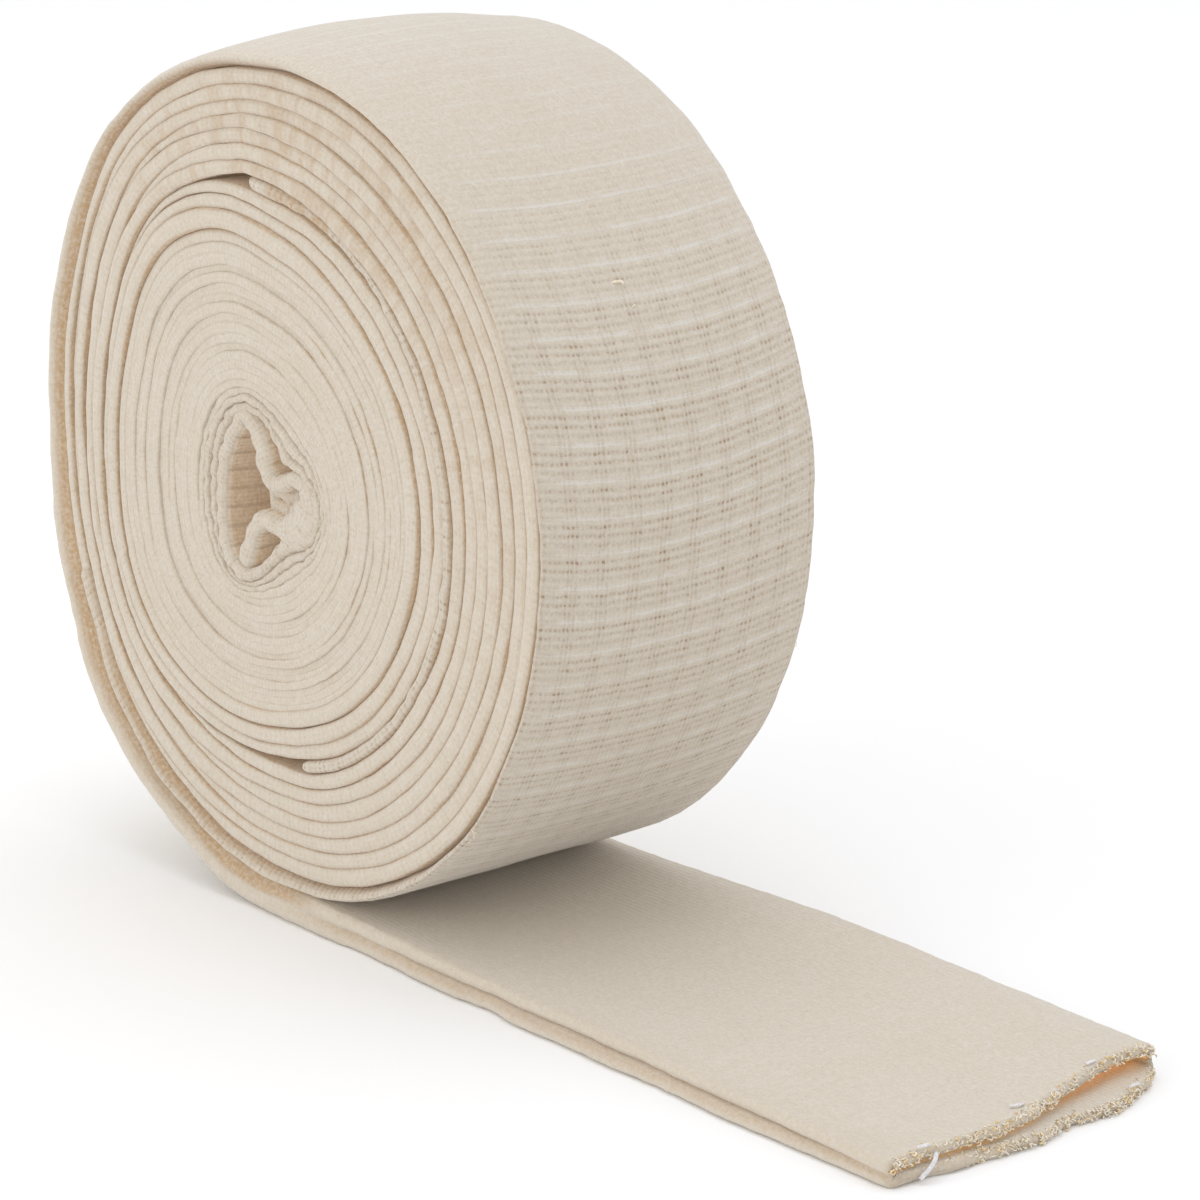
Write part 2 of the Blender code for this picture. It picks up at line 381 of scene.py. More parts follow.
def fold_set_back(place, side):
    """How far a turn's fold lies behind the plane of the face, on the front (0) or the back (1)."""
    length = length_at(place)
    inside = smooth(place, FIRST_WIND_PLACE - 0.2, FIRST_WIND_PLACE + 0.8)
    near_heart = smooth(place, HEART_PLACE - 5, HEART_PLACE - 1)
    ring = stretch_of(place, 9.6, 9.85, 10.8, 11.1)
    base = 0.80 + 0.40 * wander(length, 60 * MM, 31 + side)
    base = base + (0.16 - 0.06 * inside) * wander(length, 9 * MM, 33 + side)
    base = base + (0.06 + 0.16 * near_heart) * wander(length, 2.6 * MM, 35 + side)
    base = base + (0.32 - 0.22 * inside) * wander(np.floor(place) + 0.5, 1, 37 + side)
    thin = (pressed_edges(place + 1) > 0) * pressed(angle_at(place))
    return np.maximum(base * (1 - 0.85 * ring) + 1.1 * thin, 0.0) * MM


def fold_lines(place):
    """y of the front and the back fold."""
    return fold_set_back(place, 0) - HALF_WIDTH, HALF_WIDTH - fold_set_back(place, 1)


def fold_depth(place, half):
    """How far the edges of a fold round back from its tip."""
    inside = smooth(place, FIRST_WIND_PLACE + 0.8, FIRST_WIND_PLACE + 1.6)
    near_heart = smooth(place, HEART_PLACE - 4, HEART_PLACE)
    most = (0.80 - 0.52 * inside + 1.7 * near_heart) * MM
    return np.minimum(np.linalg.norm(half, axis=1) * 1.05, most)


def crease_shade_strength(place):
    """Strength of the painted shade, drawn brown, in a turn's creases: patchy, and faint where the turns are
    wound tight.
    """
    length = length_at(place)
    inside = smooth(place, FIRST_WIND_PLACE + 0.8, FIRST_WIND_PLACE + 1.6)
    near_heart = smooth(place, HEART_PLACE - 3, HEART_PLACE)
    right = smooth(np.cos(np.radians(angle_at(place))), -0.5, 0.6)
    patch = smooth(wander(length, 8 * MM, 43), -0.5, 0.6)
    turn = 0.5 + 0.5 * wander(np.floor(place) + 0.5, 1, 45)
    faint = (0.12 + 0.60 * patch * (0.3 + 0.7 * right)) * (0.5 + 0.7 * turn) * (1 - 0.6 * pinch(length))
    plain = 0.50 + 0.28 * patch
    return np.minimum(plain * (1 - inside) + np.maximum(faint, 0.54 * near_heart) * inside, 0.78)


def seedy_and_shaded_turns(place):
    """Brown tint of whole folds of the outer wind: seedy cotton, which differs from turn to turn and shows
    most at the top and right, and painted shade added towards the top.
    """
    angle = np.radians(angle_at(place))
    side = 0.35 + 0.65 * smooth(np.sin(angle + math.radians(35)), -0.4, 0.8)
    turn = smooth(wander(np.floor(place) + 0.5, 1, 48), -0.3, 0.5)
    patch = smooth(wander(length_at(place), 1.6 * MM, 49), -0.8, 0.8)
    # the extra towards the top is painted shade
    most = 0.26 + 0.12 * smooth(np.sin(angle), 0.3, 1.0)
    return most * side * (0.35 + 0.65 * turn) * (0.4 + 0.6 * patch)


def pinch(along):
    """1 where an elastic thread draws the cloth in, 0 half way to the next."""
    return (0.5 + 0.5 * np.cos(2 * math.pi * along / PINCH_PITCH)) ** 2


# ---------------------------------------------------------------- cloth made from rows of sections

FOLD_SQUARENESS = 2.3  # 2 would be a half circle


def round_back(across):
    """How far a fold has rounded back, 0 at its tip and 1 at its edges (-1 and 1)."""
    return 1 - (1 - np.abs(across) ** FOLD_SQUARENESS) ** (1 / FOLD_SQUARENESS)


def strip_sections(mid, half, front, back, depth, cap_steps, face_steps):
    """Points of the sections of a pressed tube: front fold, outer face, back fold, inner face.

    mid and half are (x, z) rows; front and back are the folds' y, and depth is how far the fold rounds."""
    across = np.sin(np.radians(np.linspace(-90, 90, cap_steps)))
    sink = round_back(across)
    face = np.linspace(0, 1, face_steps + 2)[1:-1]
    flat = np.ones(face_steps)
    front, back, depth = front[:, None], back[:, None], depth[:, None]
    width = back - front - 2 * depth
    y_columns = (
        front + depth * sink,
        front + depth + width * face,
        back - depth * sink[::-1],
        back - depth - width * face,
    )
    y = np.concatenate(y_columns, axis=1)
    level = np.concatenate((across, flat, across[::-1], -flat))
    deep = np.concatenate((sink, flat, sink[::-1], flat))
    xz = mid[:, None, :] + level[None, :, None] * half[:, None, :]
    points = np.stack((xz[..., 0], y, xz[..., 1]), axis=-1)
    tips = (cap_steps // 2, cap_steps + face_steps + cap_steps // 2)
    return points, np.broadcast_to(deep, y.shape), tips


def round_the_tube(points, tips):
    """Distance round the tube in metres: 0 at the front fold's tip and the tube's width at the back one."""
    closed = np.concatenate((points, points[:, :1]), axis=1)
    steps = np.linalg.norm(np.diff(closed, axis=1), axis=2)
    reach = np.concatenate((np.zeros((len(points), 1)), np.cumsum(steps, axis=1)), axis=1)
    front, back = (reach[:, tip : tip + 1] for tip in tips)
    outer = back - front
    inner_scale = TUBE_WIDTH / (reach[:, -1:] - outer)
    late = TUBE_WIDTH + (reach - back) * inner_scale
    early = (reach - front) * inner_scale
    out = (reach - front) / outer * TUBE_WIDTH
    return np.where(reach > back, late, np.where(reach < front, early, out))


def along_rows(mid):
    """Length along the cloth at each row."""
    steps = np.linalg.norm(np.diff(mid, axis=0), axis=1)
    return np.concatenate(((0,), np.cumsum(steps)))


def lay_cloth(name, points, tips, along, fields):
    """Bends a flat grid onto the sections and closes it: rows along the cloth, columns round the tube.

    The map "knit" holds metres along and round the tube, and each field is kept as an attribute."""
    round_tube = round_the_tube(points, tips)
    shape = points.shape[:2]
    points = np.concatenate((points, points[:, :1]), axis=1)
    rows, columns = points.shape[:2]
    grid = bmesh.new()
    bmesh.ops.create_grid(grid, x_segments=rows - 1, y_segments=columns - 1, size=0.5)
    data = bpy.data.meshes.new(name)
    grid.to_mesh(data)
    grid.free()
    flat = np.empty(len(data.vertices) * 3, np.float32)
    data.vertices.foreach_get("co", flat)
    flat = flat.reshape(-1, 3)
    row = np.rint((flat[:, 0] + 0.5) * (rows - 1)).astype(int)
    ring = np.rint((flat[:, 1] + 0.5) * (columns - 1)).astype(int)
    data.vertices.foreach_set("co", points[row, ring].astype(np.float32).ravel())
    corner = np.empty(len(data.loops), np.int32)
    data.loops.foreach_get("vertex_index", corner)
    knit = np.stack((np.broadcast_to(along[:, None], round_tube.shape), round_tube), axis=-1)
    layer = data.uv_layers.new(name="knit")
    layer.uv.foreach_set("vector", knit[row, ring][corner].astype(np.float32).ravel())
    for key, value in fields.items():
        value = np.broadcast_to(value, shape)
        value = np.concatenate((value, value[:, :1]), axis=1)
        attribute = data.attributes.new(key, "FLOAT", "POINT")
        attribute.data.foreach_set("value", value[row, ring].astype(np.float32))
    close_cloth(data)
    return data


def close_cloth(data):
    """Welds the tube's seam, fills its ends and turns its faces outwards."""
    mesh = bmesh.new()
    mesh.from_mesh(data)
    bmesh.ops.remove_doubles(mesh, verts=mesh.verts, dist=WELD_DISTANCE)
    open_edges = [edge for edge in mesh.edges if edge.is_boundary]
    bmesh.ops.holes_fill(mesh, edges=open_edges, sides=0)
    bmesh.ops.recalc_face_normals(mesh, faces=mesh.faces)
    mesh.to_mesh(data)
    mesh.free()
    data.shade_smooth()
    data.set_sharp_from_angle(angle=math.radians(70))


def add_piece(data, material):
    """An object of the mesh, at the origin and named as it is, that rides on the part."""
    data.materials.append(material)
    piece = bpy.data.objects.new(data.name, data)
    bpy.context.scene.collection.objects.link(piece)
    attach(piece, "root")
    return piece


def add_cloth(data, node):
    """Adds a length of the tube in place of a CAD node."""
    piece = add_piece(data, cotton())
    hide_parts(node)


def places_between(start, end, step):
    """Places on the spiral one step of length apart."""
    dense = np.linspace(start, end, 20000)
    lengths = length_at(dense)
    count = int((lengths[-1] - lengths[0]) / step)
    return np.interp(np.linspace(lengths[0], lengths[-1], count), lengths, dense)


def spiral_rows(place):
    """Middle and half thickness of the cloth at places on the spiral, with the gaps taken off."""
    outer = wind_edge(place, 0)
    inner = wind_edge(place, 1)
    full = np.linalg.norm(outer - inner, axis=1)
    away = (outer - inner) / full[:, None]
    outer = outer - away * np.minimum(gap_at(place) / 2, full * 0.3)[:, None]
    inner = inner + away * np.minimum(gap_at(place + 1) / 2, full * 0.3)[:, None]
    return (outer + inner) / 2, (outer - inner) / 2


def way_rows(knots, thickness, step):
    """A smooth way through given knots, and its half thickness to the left, as rows."""
    before = np.concatenate((knots[:1] * 2 - knots[1:2], knots, knots[-1:] * 2 - knots[-2:-1]))
    rows, sizes = [], []
    for number in range(len(knots) - 1):
        a, b, c, d = before[number : number + 4]
        count = max(int(np.linalg.norm(c - b) / step), 2)
        part = np.linspace(0, 1, count, endpoint=False)[:, None]
        curve = 2 * b + (c - a) * part + (2 * a - 5 * b + 4 * c - d) * part**2
        rows.append((curve + (3 * b - a - 3 * c + d) * part**3) / 2)
        mix = smooth(part[:, 0])
        sizes.append(thickness[number] * (1 - mix) + thickness[number + 1] * mix)
    rows = np.concatenate(rows + [knots[-1:]])
    sizes = np.concatenate(sizes + [thickness[-1:]])
    along = np.gradient(rows, axis=0)
    along = along / np.linalg.norm(along, axis=1)[:, None]
    left = np.stack((-along[:, 1], along[:, 0]), axis=-1)
    return rows, left * sizes[:, None] / 2


def rounded_end(to_end, reach):
    """Share of the full section at a distance from an end, which rounds the end off."""
    part = np.clip(to_end / reach, 0, 1)
    return np.sqrt(np.clip(1 - (1 - part) ** 2, 0.02, 1))


# ---------------------------------------------------------------- materials

COTTON = "unbleached_cotton_tube_knit"
YARN = "unravelled_cotton_yarn"

# Yarns: name, light and dark colour.
YARN_COLOURS = {
    YARN: ("#f0e9dc", "#e2d5bc"),
    "seedy_cotton_yarn": ("#ecd9b2", "#dcbf8c"),
    "covered_elastic_thread": ("#e6e4e6", "#cfcdd0"),
}

# Noise textures of the knit: name, whether it follows the knit or the object, scale in cells a metre,
# detail and roughness.
GRAIN = (
    ("sway", "knit", 35, 1, 0.5),
    ("wobble", "knit", 480, 2, 0.5),
    ("dashes", "knit", 620, 3, 0.7),
    ("clouds", "knit", 160, 2, 0.5),
    ("bands", "knit", 120, 2, 0.5),
    ("mottle", "object", 900, 3, 0.55),
    ("seedy", "object", 60, 2, 0.5),
    ("slubs", "object", 1700, 3, 0.65),
    ("stitches", "object", 1300, 2, 0.6),
    ("fibre", "object", 1500, 3, 0.7),
)
SWAY = 1.4 * MM  # how far a row of loops wanders from its straight line, over a few centimetres
WOBBLE = 0.6 * MM  # and from loop to loop
COLUMN_WOBBLE = 0.78 * MM

# Settings of the nodes used most.
STEP = {"interpolation_type": "SMOOTHSTEP"}
PLUS = {"operation": "ADD"}
TIMES = {"operation": "MULTIPLY"}
TIMES_PLUS = {"operation": "MULTIPLY_ADD"}
TO_NEAREST = {"operation": "PINGPONG"}


def linear(hex_colour):
    """sRGB hex to linear RGBA."""
    parts = [int(hex_colour[place : place + 2], 16) / 255 for place in (1, 3, 5)]
    channels = [part / 12.92 if part <= 0.04045 else ((part + 0.055) / 1.055) ** 2.4 for part in parts]
    return (*channels, 1.0)


def add_node(tree, kind, inputs=(), **settings):
    """Adds a node with its settings. Its inputs, in their order or by name, are numbers, colours, sockets,
    or nodes whose first output is meant."""
    node = tree.nodes.new("ShaderNode" + kind)
    for key, value in settings.items():
        setattr(node, key, value)
    for key, value in inputs.items() if isinstance(inputs, dict) else enumerate(inputs):
        if isinstance(value, bpy.types.Node):
            value = value.outputs[0]
        if isinstance(value, bpy.types.NodeSocket):
            tree.links.new(value, node.inputs[key])
        else:
            node.inputs[key].default_value = value
    return node


def new_material(name):
    material = bpy.data.materials.new(name)
    material.use_nodes = True
    return material, material.node_tree


def finish_cotton(material, colour, height, strength, distance, settings):
    """Links colour and bump to the shader and sets its plain values. Thin cotton lets some light through,
    which a little light of its own colour stands for: it lights no other surface."""
    tree = material.node_tree
    shader = tree.nodes["Principled BSDF"]
    bump = add_node(tree, "Bump", {"Strength": strength, "Distance": distance, "Height": height})
    tree.links.new(bump.outputs[0], shader.inputs["Normal"])
    tree.links.new(colour, shader.inputs["Base Color"])
    tree.links.new(colour, shader.inputs["Emission Color"])
    material.cycles.emission_sampling = "NONE"
    for key, value in settings.items():
        shader.inputs[key].default_value = value
    return shader


def knitted_cotton():
    """Unbleached cotton, knitted as a plain tube round covered elastic, then washed and brushed. It is matt
    and cream, with rows of small brown gaps under each row of loops, a paler raised line over each elastic
    thread, and columns of pinholes where a needle was left out."""
    colours = bpy.context.scene.bandage_colours
    material, tree = new_material(COTTON)
    add = partial(add_node, tree)
    knit = add("UVMap", uv_map="knit")
    vectors = {"knit": knit, "object": add("TexCoord").outputs["Object"]}
    deep, opened, slack = (
        add("Attribute", attribute_name=name).outputs["Fac"] for name in ("deep", "opened", "slack")
    )
    grain = {}
    for name, follows, scale, detail, roughness in GRAIN:
        inputs = {"Vector": vectors[follows], "Scale": scale, "Detail": detail, "Roughness": roughness}
        grain[name] = add("TexNoise", inputs)

    # Where the point lies in the knit: bowed rows, distances to the nearest row, column and thread.
    way = add("SeparateXYZ", (knit,))
    round_way = way.outputs[1]
    width_way = add("Math", (round_way, TUBE_WIDTH), **TO_NEAREST)
    fold_way = add("Math", (round_way, HALF_WIDTH), **TO_NEAREST)
    slope = add("Math", (width_way, ROW_RISE / 2 / TUBE_WIDTH, -ROW_FALL), **TIMES_PLUS)
    slope = add("Math", (slope, add("Math", (slack, -2.0, 1.0), **TIMES_PLUS)), **TIMES)
    along = add("Math", (width_way, slope, -(SWAY + WOBBLE) / 2), **TIMES_PLUS)
    along = add("Math", (grain["sway"], SWAY, along), **TIMES_PLUS)
    along = add("Math", (grain["wobble"], WOBBLE, along), **TIMES_PLUS)
    along = add("Math", (along, way.outputs[0]), **PLUS)
    across = add("Math", (round_way, -COLUMN_WOBBLE / 2), **PLUS)
    across = add("Math", (grain["wobble"], COLUMN_WOBBLE, across), **TIMES_PLUS)
    course_way = add("Math", (along, COURSE / 2), **TO_NEAREST)
    elastic_way = add("Math", (along, ELASTIC_PITCH / 2), **TO_NEAREST)
    wale_way = add("Math", (across, WALE / 2), **TO_NEAREST)
    ladder_way = add("Math", (across, LADDER_PITCH / 2), **TO_NEAREST)
    phase = add("Math", (along, ELASTIC_PITCH), operation="DIVIDE")
    phase = add("Math", (phase,), operation="FRACT")

    # Brown gaps: a dashed line under each row of loops, faint near the elastic, and the ladders' pinholes.
    fall = add("MapRange", (phase, 0.36, 0.90, 1.0, 0.50), **STEP)
    rise = add("MapRange", (phase, 0.10, 0.20, 0.0, fall), **STEP)
    clouds = add("MapRange", (grain["clouds"], 0.36, 0.60, 0.75, 1.0), **STEP)
    row = add("Math", (rise, clouds), **TIMES)
    row = add("MapRange", (course_way, 0.14 * MM, 0.42 * MM, row, 0.0), **STEP)
    dashes = add("MapRange", (grain["dashes"], 0.40, 0.56, 0.25, 1.0), **STEP)
    run = add("MapRange", (wale_way, 0.22 * MM, 0.46 * MM, 0.51, 0.13), **STEP)
    run = add("Math", (run, dashes), **TIMES)
    pinholes = add("MapRange", (grain["dashes"], 0.40, 0.56, 0.10, 0.36), **STEP)
    pinholes = add("MapRange", (ladder_way, 0.9 * MM, 1.9 * MM, pinholes, 0.0), **STEP)
    pinholes = add("MapRange", (wale_way, 0.22 * MM, 0.46 * MM, pinholes, 0.0), **STEP)
    gaps = add("Math", (row, add("Math", (run, pinholes), **PLUS)), **TIMES)
    faint_holes = add("Math", (pinholes, 0.45), **TIMES)
    gaps = add("Math", (gaps, faint_holes), operation="MAXIMUM")
    # on the outermost turn, opened is partly painted shade: the rows of gaps are drawn darker on the side
    # where the top light grazes them
    gaps = add("Math", (gaps, opened), **TIMES)
    gaps = add("Math", (gaps, 0.9), use_clamp=True, **TIMES)

    # Elastic threads: raised on the open faces, drawn in as furrows where the cloth is slack.
    on_face = add("MapRange", (opened, 0.02, 0.30), **STEP)
    on_face = add("MapRange", (fold_way, 2.5 * MM, 7 * MM, 0.0, on_face), **STEP)
    raised = add("MapRange", (elastic_way, 0.15 * MM, 0.55 * MM, on_face, 0.0), **STEP)
    thread = add("MapRange", (grain["bands"], 0.34, 0.56, 0.196, 0.56), **STEP)
    thread = add("Math", (thread, raised), **TIMES)
    furrow = add("MapRange", (elastic_way, 0.15 * MM, 0.90 * MM, slack, 0.0), **STEP)
    furrow = add("MapRange", (deep, 0.05, 0.60, 0.0, furrow), **STEP)
    inside = add("MapRange", (deep, 0.82, 1.0), **STEP)

    stitches = add("MapRange", (grain["stitches"], 0.34, 0.64, 0.4675, 0.85), **STEP)
    layers = (
        (add("MapRange", (grain["mottle"], 0.30, 0.72, 0.2, 0.8), **STEP), colours.cotton_pale_hex),
        (add("MapRange", (grain["seedy"], 0.40, 0.70, 0.0, 0.10), **STEP), colours.cotton_warm_hex),
        (add("MapRange", (grain["slubs"], 0.42, 0.66, 0.0, 0.42), **STEP), colours.cotton_warm_hex),
        (thread, colours.elastic_hex),
        (gaps, colours.pinhole_and_furrow_shade_hex),
        # painted shade: the creases are drawn brown by the attribute deep
        (add("MapRange", (deep, 0.05, 0.60, 0.0, stitches), **STEP), colours.crease_shade_hex),
        # painted shade in the furrows where the elastic draws slack cloth in
        (add("Math", (furrow, 0.5), **TIMES), colours.pinhole_and_furrow_shade_hex),
        # painted warm light: the inside of the tube is drawn ochre
        (inside, colours.inside_glow_hex),
    )
    base = linear(colours.cotton_hex)
    for factor, colour in layers:
        base = add("Mix", {0: factor.outputs[0], 6: base, 7: linear(colour)}, data_type="RGBA").outputs[2]

    height = add("MapRange", (wale_way, 0.0, WALE / 2, 0.0, 0.25), **STEP)
    rib = add("MapRange", (course_way, 0.1 * MM, 0.7 * MM, 0.0, opened), **STEP)
    for value, weight in ((rib, 1.0), (grain["fibre"], 0.75), (raised, 0.7), (furrow, -2.0)):
        height = add("Math", (value, weight, height), **TIMES_PLUS)
    # Painted light: a glow of the cotton's own colour in the creases, in the slack hollows near the heart and
    # inside the mouth.
    glow = add("MapRange", (deep, 0.30, 0.70, 0.0, 0.14), **STEP)
    hollow = add("MapRange", (deep, 0.10, 0.35, 0.0, slack), **STEP)
    for value, weight in ((hollow, 0.26), (inside, 0.32)):
        glow = add("Math", (value, weight, glow), **TIMES_PLUS)

    settings = {
        "Roughness": 0.95,
        "IOR": 1.47,
        "Specular IOR Level": 0.15,
        "Sheen Weight": 0.40,
        "Sheen Roughness": 0.55,
    }
    shader = finish_cotton(material, base, height, 0.7, 0.28 * MM, settings)
    tree.links.new(glow.outputs[0], shader.inputs["Emission Strength"])
    return material


def yarn(name):
    """A loose cotton or covered elastic yarn end: matt, with twist and loose fibre in its surface."""
    material, tree = new_material(name)
    light, dark = (linear(colour) for colour in YARN_COLOURS[name])
    place = add_node(tree, "TexCoord").outputs["Object"]
    twist = add_node(tree, "TexNoise", {"Vector": place, "Scale": 1800, "Detail": 3, "Roughness": 0.6})
    mottle = add_node(tree, "MapRange", (twist, 0.35, 0.65), **STEP)
    colour = add_node(tree, "Mix", {0: mottle, 6: dark, 7: light}, data_type="RGBA").outputs[2]
    # the emission is painted light: a faint glow of the yarn's own colour
    settings = {"Roughness": 0.9, "Specular IOR Level": 0.2, "Emission Strength": 0.09}
    finish_cotton(material, colour, twist, 0.8, 0.15 * MM, settings)
    return material


def cotton():
    return bpy.data.materials.get(COTTON) or knitted_cotton()


def yarn_of(name):
    return bpy.data.materials.get(name) or yarn(name)


# ---------------------------------------------------------------- settings


class BandageSizes(bpy.types.PropertyGroup):
    """Sizes of the cloth that a user would change."""

    outer_step: FloatProperty(
        name="Outer step",
        description="Spacing of the sections of the outer wind",
        default=1.2 * MM,
        unit="LENGTH",
    )
    inner_step: FloatProperty(
        name="Inner step",
        description="Spacing of the sections of the first wind",
        default=0.8 * MM,
        unit="LENGTH",
    )
    loose_step: FloatProperty(
        name="Loose end step",
        description="Spacing of the sections of the loose end",
        default=0.85 * MM,
        unit="LENGTH",
    )


class BandageColours(bpy.types.PropertyGroup):
    """Colours of the cotton, as sRGB hex values, with the painted shade of its creases and furrows and the
    painted warm light inside the tube.
    """

    cotton_hex: StringProperty(name="Cotton", description="Main colour", default="#ccc1b0")
    cotton_pale_hex: StringProperty(name="Pale cotton", description="Brushed loops", default="#d6cec2")
    cotton_warm_hex: StringProperty(name="Warm cotton", description="Seedy patches", default="#c3b59d")
    # colour of the painted shade in the creases
    crease_shade_hex: StringProperty(name="Crease", description="Depth of the creases", default="#b09068")
    # colour of the painted warm light inside the tube
    inside_glow_hex: StringProperty(name="Ochre", description="Inside of the tube", default="#e6bd78")
    # colour of the gaps in the knit, and of the painted shade in the furrows
    pinhole_and_furrow_shade_hex: StringProperty(name="Pinhole", description="Gaps in the knit", default="#8f6d46")
    elastic_hex: StringProperty(name="Elastic", description="Covered thread", default="#dcdad5")


class BandageStage(bpy.types.PropertyGroup):
    """Camera of the stage."""

    azimuth: FloatProperty(
        name="Azimuth", description="Angle round the roll", default=math.radians(50.10), subtype="ANGLE"
    )
    elevation: FloatProperty(
        name="Elevation", description="Angle above the floor", default=math.radians(15.74), subtype="ANGLE"
    )
    distance: FloatProperty(
        name="Distance", description="From the target", default=11.057 * ROLL_RADIUS, unit="LENGTH"
    )
    roll: FloatProperty(
        name="Roll", description="Turn of the picture", default=math.radians(-0.37), subtype="ANGLE"
    )
    lens: FloatProperty(name="Lens", description="Focal length on a 36 mm sensor", default=143.2)


# ---------------------------------------------------------------- the wound cloth

# Way of the last turn inside the hollow, about the roll's axis, and its thickness (x, z, thickness): down
# from the top, round the lump on the right, and back to the foot. Shares of the roll radius.
HEART_WAY = (
    (-0.152, 0.130, 0.052),
    (-0.126, 0.128, 0.056),
    (-0.102, 0.102, 0.064),
    (-0.076, 0.062, 0.070),
    (-0.059, 0.022, 0.066),
    (-0.034, -0.008, 0.054),
    (0.005, -0.008, 0.044),
    (0.040, 0.010, 0.042),
    (0.078, 0.008, 0.048),
    (0.106, -0.018, 0.064),
    (0.098, -0.062, 0.110),
    (0.070, -0.098, 0.122),
    (0.030, -0.118, 0.096),
    (-0.004, -0.122, 0.064),
    (-0.034, -0.114, 0.052),
    (-0.076, -0.112, 0.052),
    (-0.110, -0.136, 0.054),
    (-0.131, -0.172, 0.058),
    (-0.148, -0.212, 0.062),
    (-0.167, -0.244, 0.064),
)

# A tuck of the cloth pushed in between the last turn's two bends, set back from the face.
TUCK_WAY = (
    (0.050, -0.030, 0.036),
    (0.012, -0.044, 0.044),
    (-0.030, -0.040, 0.048),
    (-0.066, -0.038, 0.046),
    (-0.082, -0.060, 0.040),
    (-0.058, -0.080, 0.040),
    (-0.020, -0.082, 0.044),
    (0.022, -0.082, 0.036),
)
TUCK_SET_BACK = 3.2 * MM


def knots_of(table):
    """Knots and thickness of a listed way, in metres."""
    x, z, thickness = ROLL_RADIUS * np.array(table).T
    return np.stack((x, z + AXIS_HEIGHT), axis=-1), thickness


class BANDAGE_OT_first_wind(bpy.types.Operator):
    """The tight first wind, down to its crumpled end in the hollow."""

    bl_idname = "bandage.first_wind"
    bl_label = "First wind"

    def execute(self, context):
        step = context.scene.bandage_sizes.inner_step
        place = places_between(FIRST_WIND_PLACE, LAST_PLACE, step)
        mid, half = spiral_rows(place)
        crumpled, crumpled_half = self.crumpled_rows(step)
        mid = np.concatenate((mid, crumpled[1:]))
        half = np.concatenate((half, crumpled_half[1:]))
        along = along_rows(mid)
        loose = along[len(place) :]
        dip = 0.6 * MM + 0.4 * MM * wander(loose, 7 * MM, 41)
        blend = smooth(loose, loose[0], loose[0] + 4 * MM)
        front, back = fold_lines(place)
        front = np.concatenate((front, front[-1] * (1 - blend) + (dip - HALF_WIDTH) * blend))
        back = np.concatenate((back, back[-1] * (1 - blend) + (HALF_WIDTH - dip) * blend))
        place = np.concatenate((place, np.full(len(loose), LAST_PLACE)))
        slack = smooth(place, HEART_PLACE - 4, HEART_PLACE)
        drawn = pinch(along) * slack
        share = rounded_end(along[-1] - along, 2.0 * MM)
        half = half * (share * (1 - PINCH * drawn))[:, None]
        inset = (1 - share) * 2.0 * MM + 0.35 * MM * drawn
        depth = fold_depth(place, half)
        points, deep, tips = strip_sections(mid, half, front + inset, back - inset, depth, 7, 2)
        slack = slack[:, None]
        # deep: painted shade, drawn brown, in the creases of the first wind and on the hollow's wall
        deep = deep * crease_shade_strength(place)[:, None] * (1 - 0.25 * slack)
        opened = 0.22 + slack * (0.25 + 0.45 * smooth(deep, 0.2, 0.5))
        fields = {"deep": deep, "opened": opened, "slack": slack}
        data = lay_cloth("first_wind", points, tips, along * RELAXED_LENGTH, fields)
        add_cloth(data, "wound_roll")
        return {"FINISHED"}

    def crumpled_rows(self, step):
        """Middle and half thickness of the crumpled end, joined on to the spiral."""
        mid, half = spiral_rows(np.array((LAST_PLACE,)))
        knots, thickness = knots_of(HEART_WAY)
        knots = np.concatenate((mid, knots))
        thickness = np.concatenate((2 * np.linalg.norm(half, axis=1), thickness))
        return way_rows(knots, thickness, step)


class BANDAGE_OT_heart_tuck(bpy.types.Operator):
    """A tuck of cloth pushed in between the bends of the last turn."""

    bl_idname = "bandage.heart_tuck"
    bl_label = "Heart tuck"

    def execute(self, context):
        mid, half = way_rows(*knots_of(TUCK_WAY), context.scene.bandage_sizes.inner_step)
        along = along_rows(mid)
        share = rounded_end(along, 1.2 * MM) * rounded_end(along[-1] - along, 1.2 * MM)
        drawn = pinch(along + 1 * MM)
        half = half * (share * (1 - PINCH * drawn))[:, None]
        inset = TUCK_SET_BACK + 0.5 * MM * drawn + (1 - share) * 1.5 * MM
        inset = inset + 0.5 * MM * wander(along, 3 * MM, 47)
        depth = np.linalg.norm(half, axis=1)
        points, deep, tips = strip_sections(mid, half, inset - HALF_WIDTH, HALF_WIDTH - inset, depth, 9, 2)
        # deep: painted shade, drawn brown, on the tuck set back in the hollow
        fields = {"deep": 0.10 + 0.35 * deep, "opened": 0.4, "slack": 1.0}
        data = lay_cloth("heart_tuck", points, tips, along * RELAXED_LENGTH, fields)
        add_cloth(data, "wound_roll")
        return {"FINISHED"}


class BANDAGE_OT_outer_wind(bpy.types.Operator):
    """The looser outer turns, between the outermost one and the first wind."""

    bl_idname = "bandage.outer_wind"
    bl_label = "Outer wind"

    def execute(self, context):
        place = places_between(1.0, FIRST_WIND_PLACE, context.scene.bandage_sizes.outer_step)
        mid, half = spiral_rows(place)
        along = along_rows(mid)
        depth = fold_depth(place, half)
        points, deep, tips = strip_sections(mid, half, *fold_lines(place), depth, 9, 1)
        # deep: painted shade in the creases, or the seedy turns' brown with painted shade at the top
        deep = np.maximum(deep * crease_shade_strength(place)[:, None], seedy_and_shaded_turns(place)[:, None])
        data = lay_cloth("outer_wind", points, tips, along, {"deep": deep, "opened": 0.22})
        add_cloth(data, "wound_roll")
        return {"FINISHED"}


